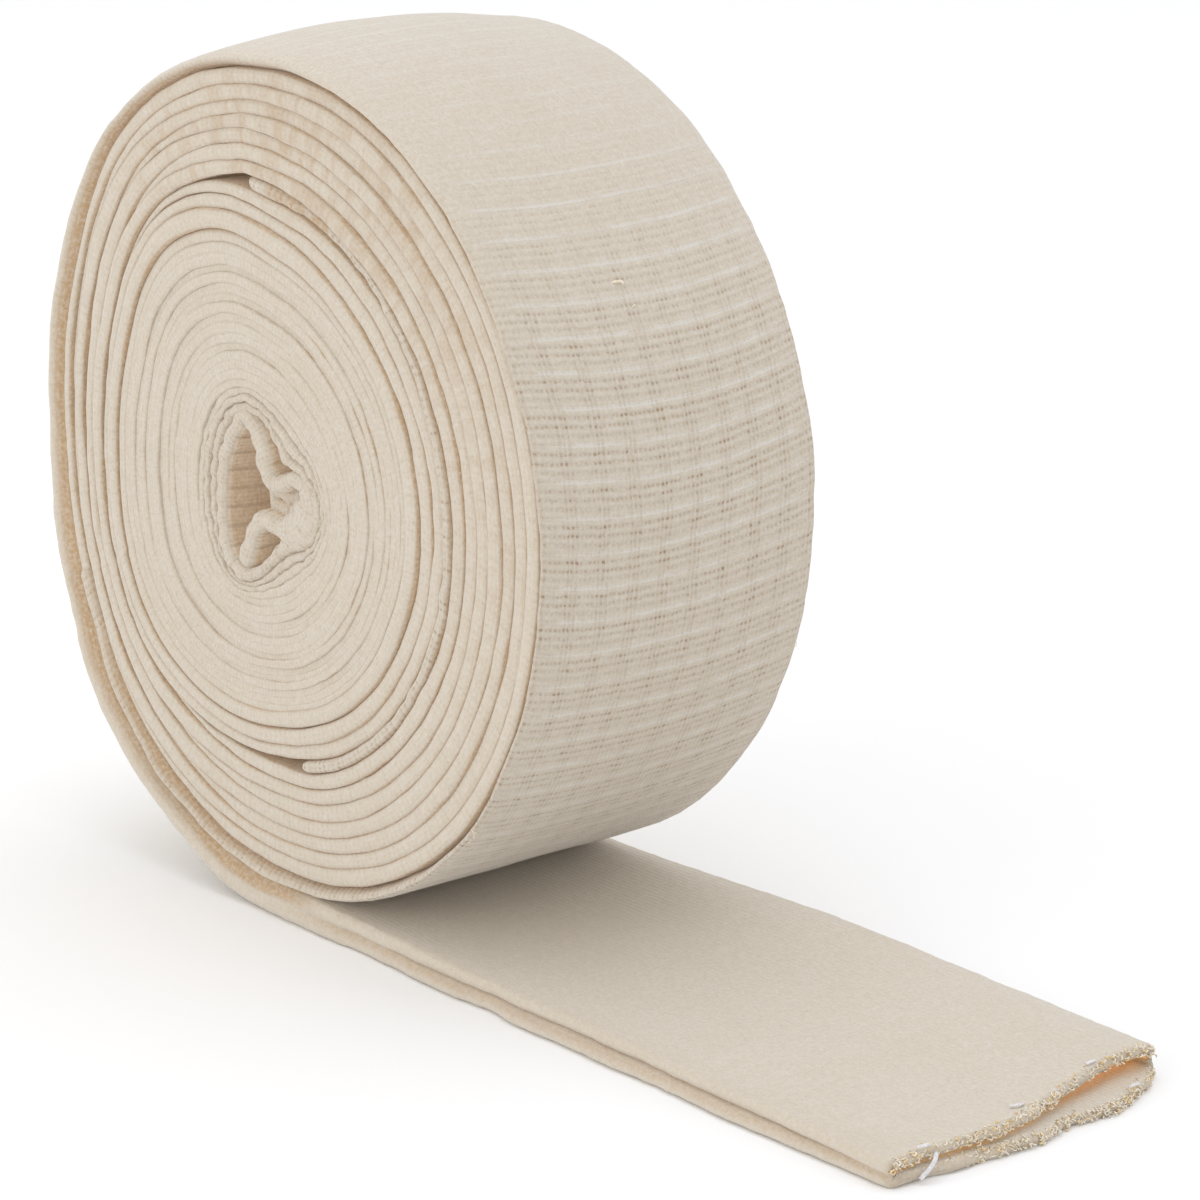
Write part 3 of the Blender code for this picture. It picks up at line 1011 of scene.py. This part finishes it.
class BANDAGE_OT_part_turn(bpy.types.Operator):
    """The extra half turn of cloth, whose two cut ends show on the face."""

    bl_idname = "bandage.part_turn"
    bl_label = "Part turn"

    def execute(self, context):
        angle = np.linspace(PART_START, PART_END, 230)
        place = PART_TURN + (SEAM_ANGLE - angle) / 360
        inner = wind_edge(place, 0)
        outer = wind_edge(place - 1, 1)
        mid = (inner + outer) / 2
        along = along_rows(mid)
        share = rounded_end(along, 2.2 * MM) * rounded_end(along[-1] - along, 2.2 * MM)
        half = (outer - inner) / 2 * 0.94 * share[:, None]
        set_back = 0.3 * MM + 0.9 * MM * smooth(angle, 92, 75) * smooth(angle, 40, 62)
        set_back = set_back + 0.3 * MM * wander(along, 3 * MM, 51) + (1 - share) * 1.2 * MM
        back = HALF_WIDTH - fold_set_back(place, 1)
        depth = np.minimum(np.linalg.norm(half, axis=1) * 1.05, 1.8 * MM)
        points, deep, tips = strip_sections(mid, half, set_back - HALF_WIDTH, back, depth, 9, 1)
        raw = smooth(angle, 94, 88) * smooth(angle, 66, 74)
        dotted = 0.5 + 0.5 * wander(along, 0.9 * MM, 53)
        # 0.75 * deep is painted shade, drawn brown, in the creases of the part turn's folds
        deep = np.maximum(0.75 * deep, (raw * (0.22 + 0.34 * dotted))[:, None])
        data = lay_cloth("part_turn", points, tips, along, {"deep": deep, "opened": 0.8})
        add_cloth(data, "wound_roll")
        return {"FINISHED"}


# ---------------------------------------------------------------- the yarn

YARN_PIECES = ("frayed_loops", "frayed_seedy_loops", "elastic_ends", "stray_threads")
LOOPS_PER_LIP = 1000
LOOP_SIDES = 4
LOOP_STEPS = 7
SEEDY_SHARE = 0.25
SURFACE_CLEARANCE = 0.20 * MM
ARCH_STEPS = 9

# Ends of elastic that lie on the cut: both ends of each, its radius and how far it arches.
ELASTIC_ENDS = (
    ((0.1784, -0.0258, 0.0042), (0.1794, -0.0306, 0.0010), 0.00042, 0.0012),
    ((0.1771, -0.0292, 0.0058), (0.1772, -0.0262, 0.0056), 0.00030, 0.0008),
    ((0.1738, -0.0035, 0.0056), (0.1742, -0.0006, 0.0054), 0.00028, 0.0008),
    ((0.1706, 0.0188, 0.0070), (0.1704, 0.0212, 0.0070), 0.00028, 0.0003),
    ((0.1768, 0.0236, 0.0032), (0.1766, 0.0262, 0.0032), 0.00028, 0.0003),
)

# Threads that stand out of the roll's surface: angle and radius of the middle, y, length, heading from the
# roll's axis, thickness, and how far they arch.
STRAY_THREADS = (
    (33.5, 0.0845, -0.0057, 0.0027, 12, 0.00050, 0.0009),
    (30.2, 0.0844, -0.0040, 0.0012, -20, 0.00030, 0.0003),
    (-44.0, 0.0823, -0.0328, 0.0022, 65, 0.00016, 0.0012),
    (-45.5, 0.0822, -0.0326, 0.0018, 110, 0.00014, 0.0010),
    (-43.2, 0.0823, -0.0330, 0.0016, 30, 0.00014, 0.0009),
    (58.0, 0.0826, -0.0318, 0.0015, 80, 0.00014, 0.0009),
    (-20.0, 0.0824, 0.0322, 0.0020, 100, 0.00014, 0.0011),
)


def sweep(target, path, radius, sides):
    """Adds to the target mesh a closed tube swept along a path: a circle extruded from point to point."""
    path = [Vector(point) for point in path]
    mesh = bmesh.new()
    ring = bmesh.ops.create_circle(mesh, cap_ends=True, segments=sides, radius=radius)["verts"]
    way = (path[1] - path[0]).normalized()
    turn = way.to_track_quat("Z", "Y").to_matrix().to_4x4()
    bmesh.ops.transform(mesh, matrix=Matrix.Translation(path[0]) @ turn, verts=ring)
    face = ring[0].link_faces[0]
    for number in range(1, len(path)):
        old = way
        way = (path[min(number + 1, len(path) - 1)] - path[number - 1]).normalized()
        made = bmesh.ops.extrude_face_region(mesh, geom=[face], use_keep_orig=number == 1)
        face = next(item for item in made["geom"] if isinstance(item, bmesh.types.BMFace))
        ring = [item for item in made["geom"] if isinstance(item, bmesh.types.BMVert)]
        bend = old.rotation_difference(way).to_matrix().to_4x4()
        move = Matrix.Translation(path[number]) @ bend @ Matrix.Translation(-path[number - 1])
        bmesh.ops.transform(mesh, matrix=move, verts=ring)
    single = bpy.data.meshes.new("swept")
    mesh.to_mesh(single)
    mesh.free()
    target.from_mesh(single)
    bpy.data.meshes.remove(single)


def add_yarn(name, mesh, material_name):
    """Makes a piece of a mesh of yarn, with its faces turned outwards."""
    bmesh.ops.recalc_face_normals(mesh, faces=mesh.faces)
    data = bpy.data.meshes.new(name)
    mesh.to_mesh(data)
    mesh.free()
    data.shade_smooth()
    add_piece(data, yarn_of(material_name))


def lip_point(y, lip, level):
    """A point of the mouth's cut edge: lip 0 is the lower one, and level is the share of its thickness."""
    reach = MOUTH.read(("lower_reach", "upper_reach")[lip], y)
    thickness = TAIL.read("thickness", TAIL_MOUTH)
    layer = (thickness - MOUTH_GAP) / 2
    z = layer * level if lip == 0 else thickness - layer * (1 - level) + MOUTH.read("lift", y)
    return np.array((reach, y, z))


class BANDAGE_OT_frayed_loops(bpy.types.Operator):
    """Loops of cotton yarn let go by the cut, and ends of the elastic, along the lips of the mouth."""

    bl_idname = "bandage.frayed_loops"
    bl_label = "Frayed loops"

    def execute(self, context):
        picks = np.random.default_rng(7)
        plain, seedy, ends = bmesh.new(), bmesh.new(), bmesh.new()
        for lip in (0, 1):
            for _ in range(LOOPS_PER_LIP):
                y = picks.uniform(-0.0362, 0.0368)
                root = lip_point(y, lip, picks.uniform(0.1, 1.0))
                root[0] += picks.uniform(-1.3, 0.7) * MM
                target = seedy if picks.uniform() < SEEDY_SHARE else plain
                path = self.loop(root, picks)
                sweep(target, path, picks.uniform(0.10, 0.17) * MM, LOOP_SIDES)
        for start, end, radius, arch in ELASTIC_ENDS:
            sweep(ends, self.elastic_end(start, end, arch), radius, 8)
        for name, mesh, material_name in zip(YARN_PIECES, (plain, seedy, ends), YARN_COLOURS):
            add_yarn(name, mesh, material_name)
        return {"FINISHED"}

    def loop(self, root, picks):
        """Points of one loop: a bent arc standing out of the cut edge."""
        size = picks.uniform(0.22, 0.50) * MM
        turn = np.linspace(-0.15, 1.15, LOOP_STEPS)[:, None] * math.pi
        heading = picks.uniform(0, 2 * math.pi)
        out = np.array((1.0, picks.uniform(-0.6, 0.6), picks.uniform(-0.35, 0.6)))
        out = out / np.linalg.norm(out)
        side = np.cross(out, (math.cos(heading), math.sin(heading), 0.7))
        side = side / np.linalg.norm(side)
        lean = np.cross(out, side) * picks.uniform(-0.5, 0.5)
        points = root + size * (np.sin(turn) * out - np.cos(turn) * side * 0.8 + lean * turn / math.pi)
        points[:, 2] = np.maximum(points[:, 2], SURFACE_CLEARANCE)
        return points

    def elastic_end(self, start, end, arch):
        """Points of one end of elastic, arched outwards between its two ends."""
        part = np.linspace(0, 1, ARCH_STEPS)[:, None]
        points = np.array(start) * (1 - part) + np.array(end) * part
        points = points + np.sin(part * math.pi) * arch * np.array((0.9, 0.0, 0.5))
        points[:, 2] = np.maximum(points[:, 2], 0.5 * MM)
        return points


class BANDAGE_OT_stray_threads(bpy.types.Operator):
    """A pulled loop on the outside of the roll, and a few fibres at its edges."""

    bl_idname = "bandage.stray_threads"
    bl_label = "Stray threads"

    def execute(self, context):
        mesh = bmesh.new()
        for angle, radius, y, length, heading, thickness, arch in STRAY_THREADS:
            sweep(mesh, self.thread(angle, radius, y, length, heading, arch), thickness / 2, 6)
        add_yarn("stray_threads", mesh, YARN)
        return {"FINISHED"}

    def thread(self, angle, radius, y, length, heading, arch):
        """Points of one thread, both of whose ends are in the cloth."""
        x, z = about_axis(radius, angle)
        out_x, out_z = direction(angle)
        along_axis, round_roll = direction(heading)
        way = np.array((round_roll * out_z, along_axis, -round_roll * out_x))
        part = np.linspace(0, 1, ARCH_STEPS)[:, None]
        rise = np.sin(part * math.pi) * arch - 0.15 * MM
        return np.array((x, y, z)) + (part - 0.5) * length * way + rise * np.array((out_x, 0, out_z))


# ---------------------------------------------------------------- the outermost turn and the loose end

# Steps round a fold of the loose end, from its upper or inner layer (-1) to its lower or outer one (1).
FOLD_STEPS = np.array(
    (-1.0, -0.95, -0.82, -0.62, -0.40, -0.20, -0.05, 0.10, 0.28, 0.48, 0.68, 0.85, 0.96, 1.0)
)
LAYER_STEPS = 17  # across one face of the loose end, between its folds
RIM_STEPS = 5
FOLD_PEAK = 0.35  # the step at which the fold of the outermost turn stands out furthest


def round_section(front, outer, back, inner):
    """One row round the tube, from its front fold over the lower face, back fold and upper face."""
    return np.concatenate((front, outer, back[..., ::-1], inner), axis=-1)


def tail_rows(step):
    """Rows from the mouth to under the roll: lower and upper point, and folds."""
    x = np.arange(TAIL_MOUTH, TAIL_FOOT, -step)
    low = np.stack((x, np.zeros(len(x))), axis=-1)
    high = np.stack((x, TAIL.read("thickness", x)), axis=-1)
    return low, high, TAIL.read("front", x), TAIL.read("back", x)


def peel_rows(step):
    """Rows that still follow the roll, from the surface up to the seam, and their angles."""
    reach = math.radians(PEEL_END_ANGLE - SEAM_ANGLE) * ROLL_RADIUS * 1.1
    angle = np.linspace(PEEL_END_ANGLE, SEAM_ANGLE, int(reach / step))[:-1]
    radius = ROLL_RADIUS * eased(partial(PEEL.read, "outer"), angle, 0.5)
    radius = np.minimum(radius, AXIS_HEIGHT / np.abs(np.sin(np.radians(angle))))
    under = about_axis(section_radius("outside", angle - 360), angle)
    under[:, 1] = np.maximum(under[:, 1], FLAT_SPOT_HEIGHT)
    return about_axis(radius, angle), under + PIECE_GAP * direction(angle), angle


def turn_rows(step):
    """Rows of the outermost turn, from the seam inwards, and their angles."""
    place = places_between(0.0, 1.0, step)
    outer = wind_edge(place, 0)
    outer[:, 1] = np.maximum(outer[:, 1], FLAT_SPOT_HEIGHT)
    inner = wind_edge(place, 1)
    away = (outer - inner) / np.linalg.norm(outer - inner, axis=1)[:, None]
    inner = inner + away * (gap_at(place + 1) / 2)[:, None]
    outer = outer - away * (gap_at(np.array((1.0,))) / 2 * smooth(place, 0.88, 1.0))[:, None]
    return outer, inner, SEAM_ANGLE - 360 * place


def loose_end_rows(step):
    """Rows from the mouth inwards: lower and upper points, folds, angle, how far each row has become the
    wound cloth, and the number of rows on the surface.

    The angle is 270 where the loose end lies on the surface."""
    low, high, front, back = tail_rows(step)
    peel_low, peel_high, peel_angle = peel_rows(step)
    outer, inner, turn_angle = turn_rows(step)
    lower = np.concatenate((low, peel_low, outer))
    upper = np.concatenate((high, peel_high, inner))
    angle = np.concatenate((np.full(len(low), 270.0), peel_angle, turn_angle))
    wound = np.concatenate((peel_angle, turn_angle))
    ending = smooth(wound, SEAM_ANGLE - 325, SEAM_ANGLE - 360)
    end_front, end_back = fold_lines(np.array((1.0,)))
    foot_front, foot_back = TAIL.read("front", TAIL_FOOT), TAIL.read("back", TAIL_FOOT)
    front = np.concatenate((front, foot_front + (end_front - foot_front) * ending))
    back = np.concatenate((back, foot_back + (end_back - foot_back) * ending))
    ending = np.concatenate((np.zeros(len(low)), ending))
    return lower, upper, front, back, angle, ending, len(low)


def fold_shape(along, tail_end, ending, half, side):
    """How far each point of a fold lies behind its tip, in metres: rows by steps round the fold."""
    steps = FOLD_STEPS[None, :]
    along = along[:, None]
    ending = ending[:, None]
    tail = 1 - smooth(along, tail_end - 30 * MM, tail_end + 5 * MM)
    upper = 1 - np.sqrt(np.clip(1 - ((steps + 0.50) / 0.50) ** 2, 0, 1))
    lower = 1 - np.sqrt(np.clip(1 - ((steps - 0.50) / 0.50) ** 2, 0, 1))
    from_mouth = 175 * MM - along
    jut = (1.5, 1.0)[side] * MM * stretch_of(from_mouth, 20 * MM, 60 * MM, 135 * MM, 170 * MM)
    jut = jut + 0.5 * MM * wander(along, 14 * MM, 61 + side)
    split = np.where(steps < 0, 1.3 * MM * upper, 1.5 * MM * lower - jut * (1 - lower**3))
    outside = 1.9 * MM * np.clip((steps - FOLD_PEAK) / (1 - FOLD_PEAK), 0, 1) ** 2.2
    inside = 3.4 * MM * np.clip((FOLD_PEAK - steps) / (1 + FOLD_PEAK), 0, 1) ** 1.8
    plain = np.minimum(half * 1.05, 1.35 * MM)[:, None] * round_back(steps)
    wound = (outside + inside) * (1 - ending) + plain * ending
    return split * tail + wound * (1 - tail)


class BANDAGE_OT_loose_end(bpy.types.Operator):
    """The outermost turn and the loose end, one length of hollow tube with its mouth standing open."""

    bl_idname = "bandage.loose_end"
    bl_label = "Outermost turn and loose end"

    def execute(self, context):
        step = context.scene.bandage_sizes.loose_step
        lower, upper, front, back, angle, ending, tail_count = loose_end_rows(step)
        along = along_rows((lower + upper) / 2)
        half = np.linalg.norm(upper - lower, axis=1) / 2
        tail_end = along[tail_count]
        front = front + 0.35 * MM * wander(along, 11 * MM, 71) + 0.15 * MM * wander(along, 3 * MM, 72)
        back = back + 0.35 * MM * wander(along, 12 * MM, 73) + 0.15 * MM * wander(along, 3 * MM, 74)
        front_y = front[:, None] + fold_shape(along, tail_end, ending, half, 0)
        back_y = back[:, None] - fold_shape(along, tail_end, ending, half, 1)
        face = np.linspace(0, 1, LAYER_STEPS + 2)[1:-1]
        outer_y = front_y[:, -1:] + (back_y[:, -1:] - front_y[:, -1:]) * face
        inner_y = back_y[:, :1] + (front_y[:, :1] - back_y[:, :1]) * face
        y = round_section(front_y, outer_y, back_y, inner_y)
        flat = np.ones(LAYER_STEPS)
        level = round_section(FOLD_STEPS, flat, FOLD_STEPS, -flat)
        share = (1 - level) / 2  # 0 on the lower, outer face and 1 on the upper, inner one
        tips = (len(FOLD_STEPS) // 2, len(FOLD_STEPS) + LAYER_STEPS + len(FOLD_STEPS) // 2)

        skin = self.skin(lower, upper, y, share, along, angle)
        wall = self.inside(lower, upper, y, share, along)
        rim = self.rim(skin[0], wall[0])
        wall_along = along[: len(wall)]
        points = np.concatenate((skin[::-1], rim, wall))
        map_along = (along[::-1], -np.linspace(0.2, 1.0, len(rim)) * MM, -1 * MM - wall_along)
        deep = self.tint(y, share, along, tail_end, angle, ending)
        # painted warm light: the tube's inside turns ochre and glows deeper behind the cut and under the
        # upper layer
        wall_deep = np.maximum(smooth(wall_along, 3 * MM, 10 * MM)[:, None], smooth(share, 0.45, 0.75))
        deep = np.concatenate((deep[::-1], np.full((len(rim), len(share)), 0.25), wall_deep))
        opened = np.concatenate((self.openness_and_shade(angle)[::-1], np.full(len(rim) + len(wall), 0.04)))
        fields = {"deep": deep, "opened": opened[:, None]}
        data = lay_cloth("loose_end_cloth", points, tips, np.concatenate(map_along), fields)
        add_cloth(data, "loose_end")
        return {"FINISHED"}

    def tint(self, y, share, along, tail_end, angle, ending):
        """Painted shade, drawn brown: inside the fold of the wound part, under the roll, and between the two
        layers of the loose end; with seedy specks in a strip along its front edge."""
        along, angle, ending = along[:, None], angle[:, None], ending[:, None]
        face = np.zeros(LAYER_STEPS)
        within = smooth(FOLD_STEPS, 0.6, -0.9)
        # painted shade inside the fold of the wound part, stronger on the left
        fold_shade = 0.46 + 0.32 * smooth(np.cos(np.radians(angle)), 0.2, -0.6)
        fold_shade = fold_shade * (1 - 0.35 * smooth(angle, SEAM_ANGLE, SEAM_ANGLE + 35))
        fold_shade = fold_shade * smooth(along, tail_end - 30 * MM, tail_end + 20 * MM) * (1 - 0.6 * ending)
        deep = round_section(within, face, within, face) * fold_shade
        # painted shade in the crevice between the two layers of the loose end, fading down the lower layer
        crevice = 0.36 * smooth(FOLD_STEPS, -0.30, 0.05) * (1 - 0.85 * smooth(FOLD_STEPS, 0.10, 0.75))
        seedy_edge = 0.16 * smooth(y, -23 * MM, -33 * MM) * smooth(share, 0.5, 0.9)
        on_tail = np.maximum(round_section(crevice, face, crevice, face), seedy_edge)
        on_tail = on_tail * (1 - smooth(along, tail_end - 30 * MM, tail_end))
        # painted shade on the loose end under the roll, growing towards it
        shade = 0.78 * smooth(along, tail_end - SHADE_REACH, tail_end) ** 2 * smooth(share, 0.5, 0.7)
        return np.maximum.reduce((deep, on_tail, shade * smooth(angle, 225, 262)))

    def openness_and_shade(self, angle):
        """How strongly the gaps of the knit show: partly how open it lies, brushed smooth on the loose end
        and the top and stretched on the right, and partly painted shade, the rows drawn darker on the side
        where the top light grazes.
        """
        wound = 0.12 + 0.90 * smooth(angle, 58, 16) + 0.2 * smooth(angle, 70, 110) * smooth(angle, 190, 150)
        wound = wound - 0.35 * smooth(angle, -45, -90)
        return np.where(angle > SEAM_ANGLE, 0.04, wound)

    def lift(self, x, y):
        """How far the upper layer stands off: at the mouth, and along the back edge."""
        rise = smooth(1 - (TAIL_MOUTH - x) / MOUTH_DEPTH) * MOUTH.read("lift", y)
        return rise + TAIL.read("back_lift", x) * smooth(y, LIFT_START, TAIL_EDGE)

    def cut(self, y, share, along):
        """Shift of the cut along X from its straight line, fading out behind the mouth."""
        upper = MOUTH.read("upper_reach", y) - TAIL_MOUTH
        upper = upper + 0.5 * MM * wander(y, 5 * MM, 81) + 0.5 * MM * wander(y, 1.9 * MM, 82)
        lower = MOUTH.read("lower_reach", y) - TAIL_MOUTH
        lower = lower + 0.8 * MM * wander(y, 5 * MM, 83) + 0.6 * MM * wander(y, 2.0 * MM, 84)
        return ((1 - share) * lower + share * upper) * (1 - smooth(along, 0, MOUTH_FADE))

    def crown(self, angle, y):
        """How far the middle of the outermost turn bulges, over the upper half of the roll."""
        rise = np.sqrt(np.maximum(np.sin(np.radians(angle)), 0))
        return CROWN * rise[:, None] * (1 - np.clip(2 * np.abs(y) / TUBE_WIDTH, 0, 1) ** 2)

    def skin(self, lower, upper, y, share, along, angle):
        """Points of the outer skin, with the mouth's lift and cut and the ridges of the elastic."""
        across = upper - lower
        up = across / np.linalg.norm(across, axis=1)[:, None]
        xz = lower[:, None, :] + across[:, None, :] * share[None, :, None]
        ridge = 0.07 * MM * np.maximum(np.cos(2 * math.pi * along / ELASTIC_PITCH), 0) ** 3
        waves = 0.16 * MM * wander(along[:, None] / (17 * MM) + y / (10 * MM), 1, 85)
        level = 1 - 2 * share
        on_surface = (angle == 270.0)[:, None]
        amount = np.where(on_surface & (level > 0), 0.0, ridge[:, None] + waves)
        amount = amount + self.crown(angle, y) * (level > 0)
        xz = xz - up[:, None, :] * (level * amount)[..., None]
        x = xz[..., 0] + self.cut(y, share, along[:, None])
        z = xz[..., 1] + smooth(share, 0.0, 0.6) * self.lift(xz[..., 0], y) * on_surface
        return np.stack((x, y, z), axis=-1)

    def inside(self, lower, upper, y, share, along):
        """Points of the tube's inside, from the mouth inwards."""
        count = np.count_nonzero(along < MOUTH_DEPTH)
        lower, upper, y, along = lower[:count], upper[:count], y[:count], along[:count, None]
        full = np.linalg.norm(upper - lower, axis=1)[:, None]
        layer = (upper - lower) * (full - MOUTH_GAP) / 2 / full
        low = lower + layer
        high = upper - layer
        xz = low[:, None, :] + (high - low)[:, None, :] * share[None, :, None]
        last, first = y.max(axis=1)[:, None], y.min(axis=1)[:, None]
        middle = (last + first) / 2
        reach = (last - first) / 2
        inner_y = middle + (y - middle) * (reach - 1.6 * MM) / reach
        x = xz[..., 0] + self.cut(inner_y, share, along) - 0.3 * MM
        z = xz[..., 1] + share * self.lift(xz[..., 0], inner_y)
        return np.stack((x, inner_y, z), axis=-1)

    def rim(self, outside, inside):
        """Rounded cut edge between the two skins of the mouth."""
        rows = []
        for number, part in enumerate(np.linspace(0, 1, RIM_STEPS + 2)[1:-1]):
            row = outside * (1 - part) + inside * part
            rough = wander(np.arange(len(row)) * 1.7, 1, 91 + number)
            row[:, 0] += 0.8 * MM * math.sin(math.pi * part) + 0.3 * MM * rough
            rows.append(row)
        return np.array(rows)


# ---------------------------------------------------------------- the stage

CAMERA_TARGET = (0.0580, 0.0, 0.0731)
LIGHT_TARGET = (0.02, 0, 0.08)
FLOOR_SIZE = 6.0
STUDIO_WHITE = "#fbfbfb"
STUDIO_STRENGTH = 0.97

# Softboxes: name, place, size across, power in watts and colour.
LIGHTS = (
    ("top_softbox", (0.00, 0.10, 2.00), 1.60, 7.6, "#eef2ff"),
    ("front_softbox", (-0.30, -1.60, 0.50), 1.00, 4.2, "#fff6ea"),
)


def aim(item, target, roll=0.0):
    """Turns a camera or a light at its place towards the target."""
    way = Vector(target) - item.location
    turn = way.to_track_quat("-Z", "Y").to_matrix().to_4x4() @ Matrix.Rotation(roll, 4, "Z")
    item.rotation_euler = turn.to_euler()


class BANDAGE_OT_stage(bpy.types.Operator):
    """The pale floor, the soft studio light and the camera."""

    bl_idname = "bandage.stage"
    bl_label = "Stage"

    def execute(self, context):
        self.floor()
        self.lights(context)
        self.camera(context)
        context.scene.view_settings.view_transform = "Standard"
        return {"FINISHED"}

    def floor(self):
        mesh = bmesh.new()
        bmesh.ops.create_grid(mesh, x_segments=1, y_segments=1, size=FLOOR_SIZE)
        data = bpy.data.meshes.new("floor")
        mesh.to_mesh(data)
        mesh.free()
        material, tree = new_material("matt_white_paper")
        shader = tree.nodes["Principled BSDF"]
        shader.inputs["Base Color"].default_value = linear(STUDIO_WHITE)
        shader.inputs["Roughness"].default_value = 0.9
        data.materials.append(material)
        floor = bpy.data.objects.new("floor", data)
        bpy.context.scene.collection.objects.link(floor)

    def lights(self, context):
        world = bpy.data.worlds.new("studio")
        world.use_nodes = True
        background = world.node_tree.nodes["Background"]
        background.inputs["Color"].default_value = linear(STUDIO_WHITE)
        background.inputs["Strength"].default_value = STUDIO_STRENGTH
        context.scene.world = world
        for name, place, size, power, colour in LIGHTS:
            data = bpy.data.lights.new(name, "AREA")
            data.shape = "DISK"
            data.size = size
            data.energy = power
            data.color = linear(colour)[:3]
            light = bpy.data.objects.new(name, data)
            light.location = place
            context.scene.collection.objects.link(light)
            aim(light, LIGHT_TARGET)

    def camera(self, context):
        stage = context.scene.bandage_stage
        data = bpy.data.cameras.new("camera")
        data.sensor_width = 36
        data.lens = stage.lens
        data.clip_start = 0.01
        camera = bpy.data.objects.new("camera", data)
        flat = math.cos(stage.elevation) * stage.distance
        reach = Vector((math.sin(stage.azimuth) * flat, -math.cos(stage.azimuth) * flat, 0))
        reach.z = math.sin(stage.elevation) * stage.distance
        camera.location = Vector(CAMERA_TARGET) + reach
        context.scene.collection.objects.link(camera)
        aim(camera, CAMERA_TARGET, stage.roll)
        context.scene.camera = camera


PIECES = (
    BANDAGE_OT_stage,
    BANDAGE_OT_first_wind,
    BANDAGE_OT_heart_tuck,
    BANDAGE_OT_outer_wind,
    BANDAGE_OT_part_turn,
    BANDAGE_OT_frayed_loops,
    BANDAGE_OT_stray_threads,
    BANDAGE_OT_loose_end,
)

GROUPS = (
    ("bandage_sizes", BandageSizes),
    ("bandage_colours", BandageColours),
    ("bandage_stage", BandageStage),
)


class BANDAGE_PT_panel(bpy.types.Panel):
    """Lists the pieces and their settings."""

    bl_idname = "BANDAGE_PT_panel"
    bl_label = "Tubular bandage"
    bl_space_type = "VIEW_3D"
    bl_region_type = "UI"
    bl_category = "Bandage"

    def draw(self, context):
        for name, group in GROUPS:
            box = self.layout.box()
            for key in group.__annotations__:
                box.prop(getattr(context.scene, name), key)
        for piece in PIECES:
            self.layout.operator(piece.bl_idname)


def register():
    for name, group in GROUPS:
        bpy.utils.register_class(group)
        setattr(bpy.types.Scene, name, PointerProperty(type=group))
    for item in (*PIECES, BANDAGE_PT_panel):
        bpy.utils.register_class(item)


def unregister():
    for item in (BANDAGE_PT_panel, *reversed(PIECES)):
        bpy.utils.unregister_class(item)
    for name, group in reversed(GROUPS):
        delattr(bpy.types.Scene, name)
        bpy.utils.unregister_class(group)


def main():
    register()
    bpy.ops.bandage.stage()
    bpy.ops.bandage.first_wind()
    bpy.ops.bandage.heart_tuck()
    bpy.ops.bandage.outer_wind()
    bpy.ops.bandage.part_turn()
    bpy.ops.bandage.frayed_loops()
    bpy.ops.bandage.stray_threads()
    bpy.ops.bandage.loose_end()


if __name__ == "__main__":
    main()
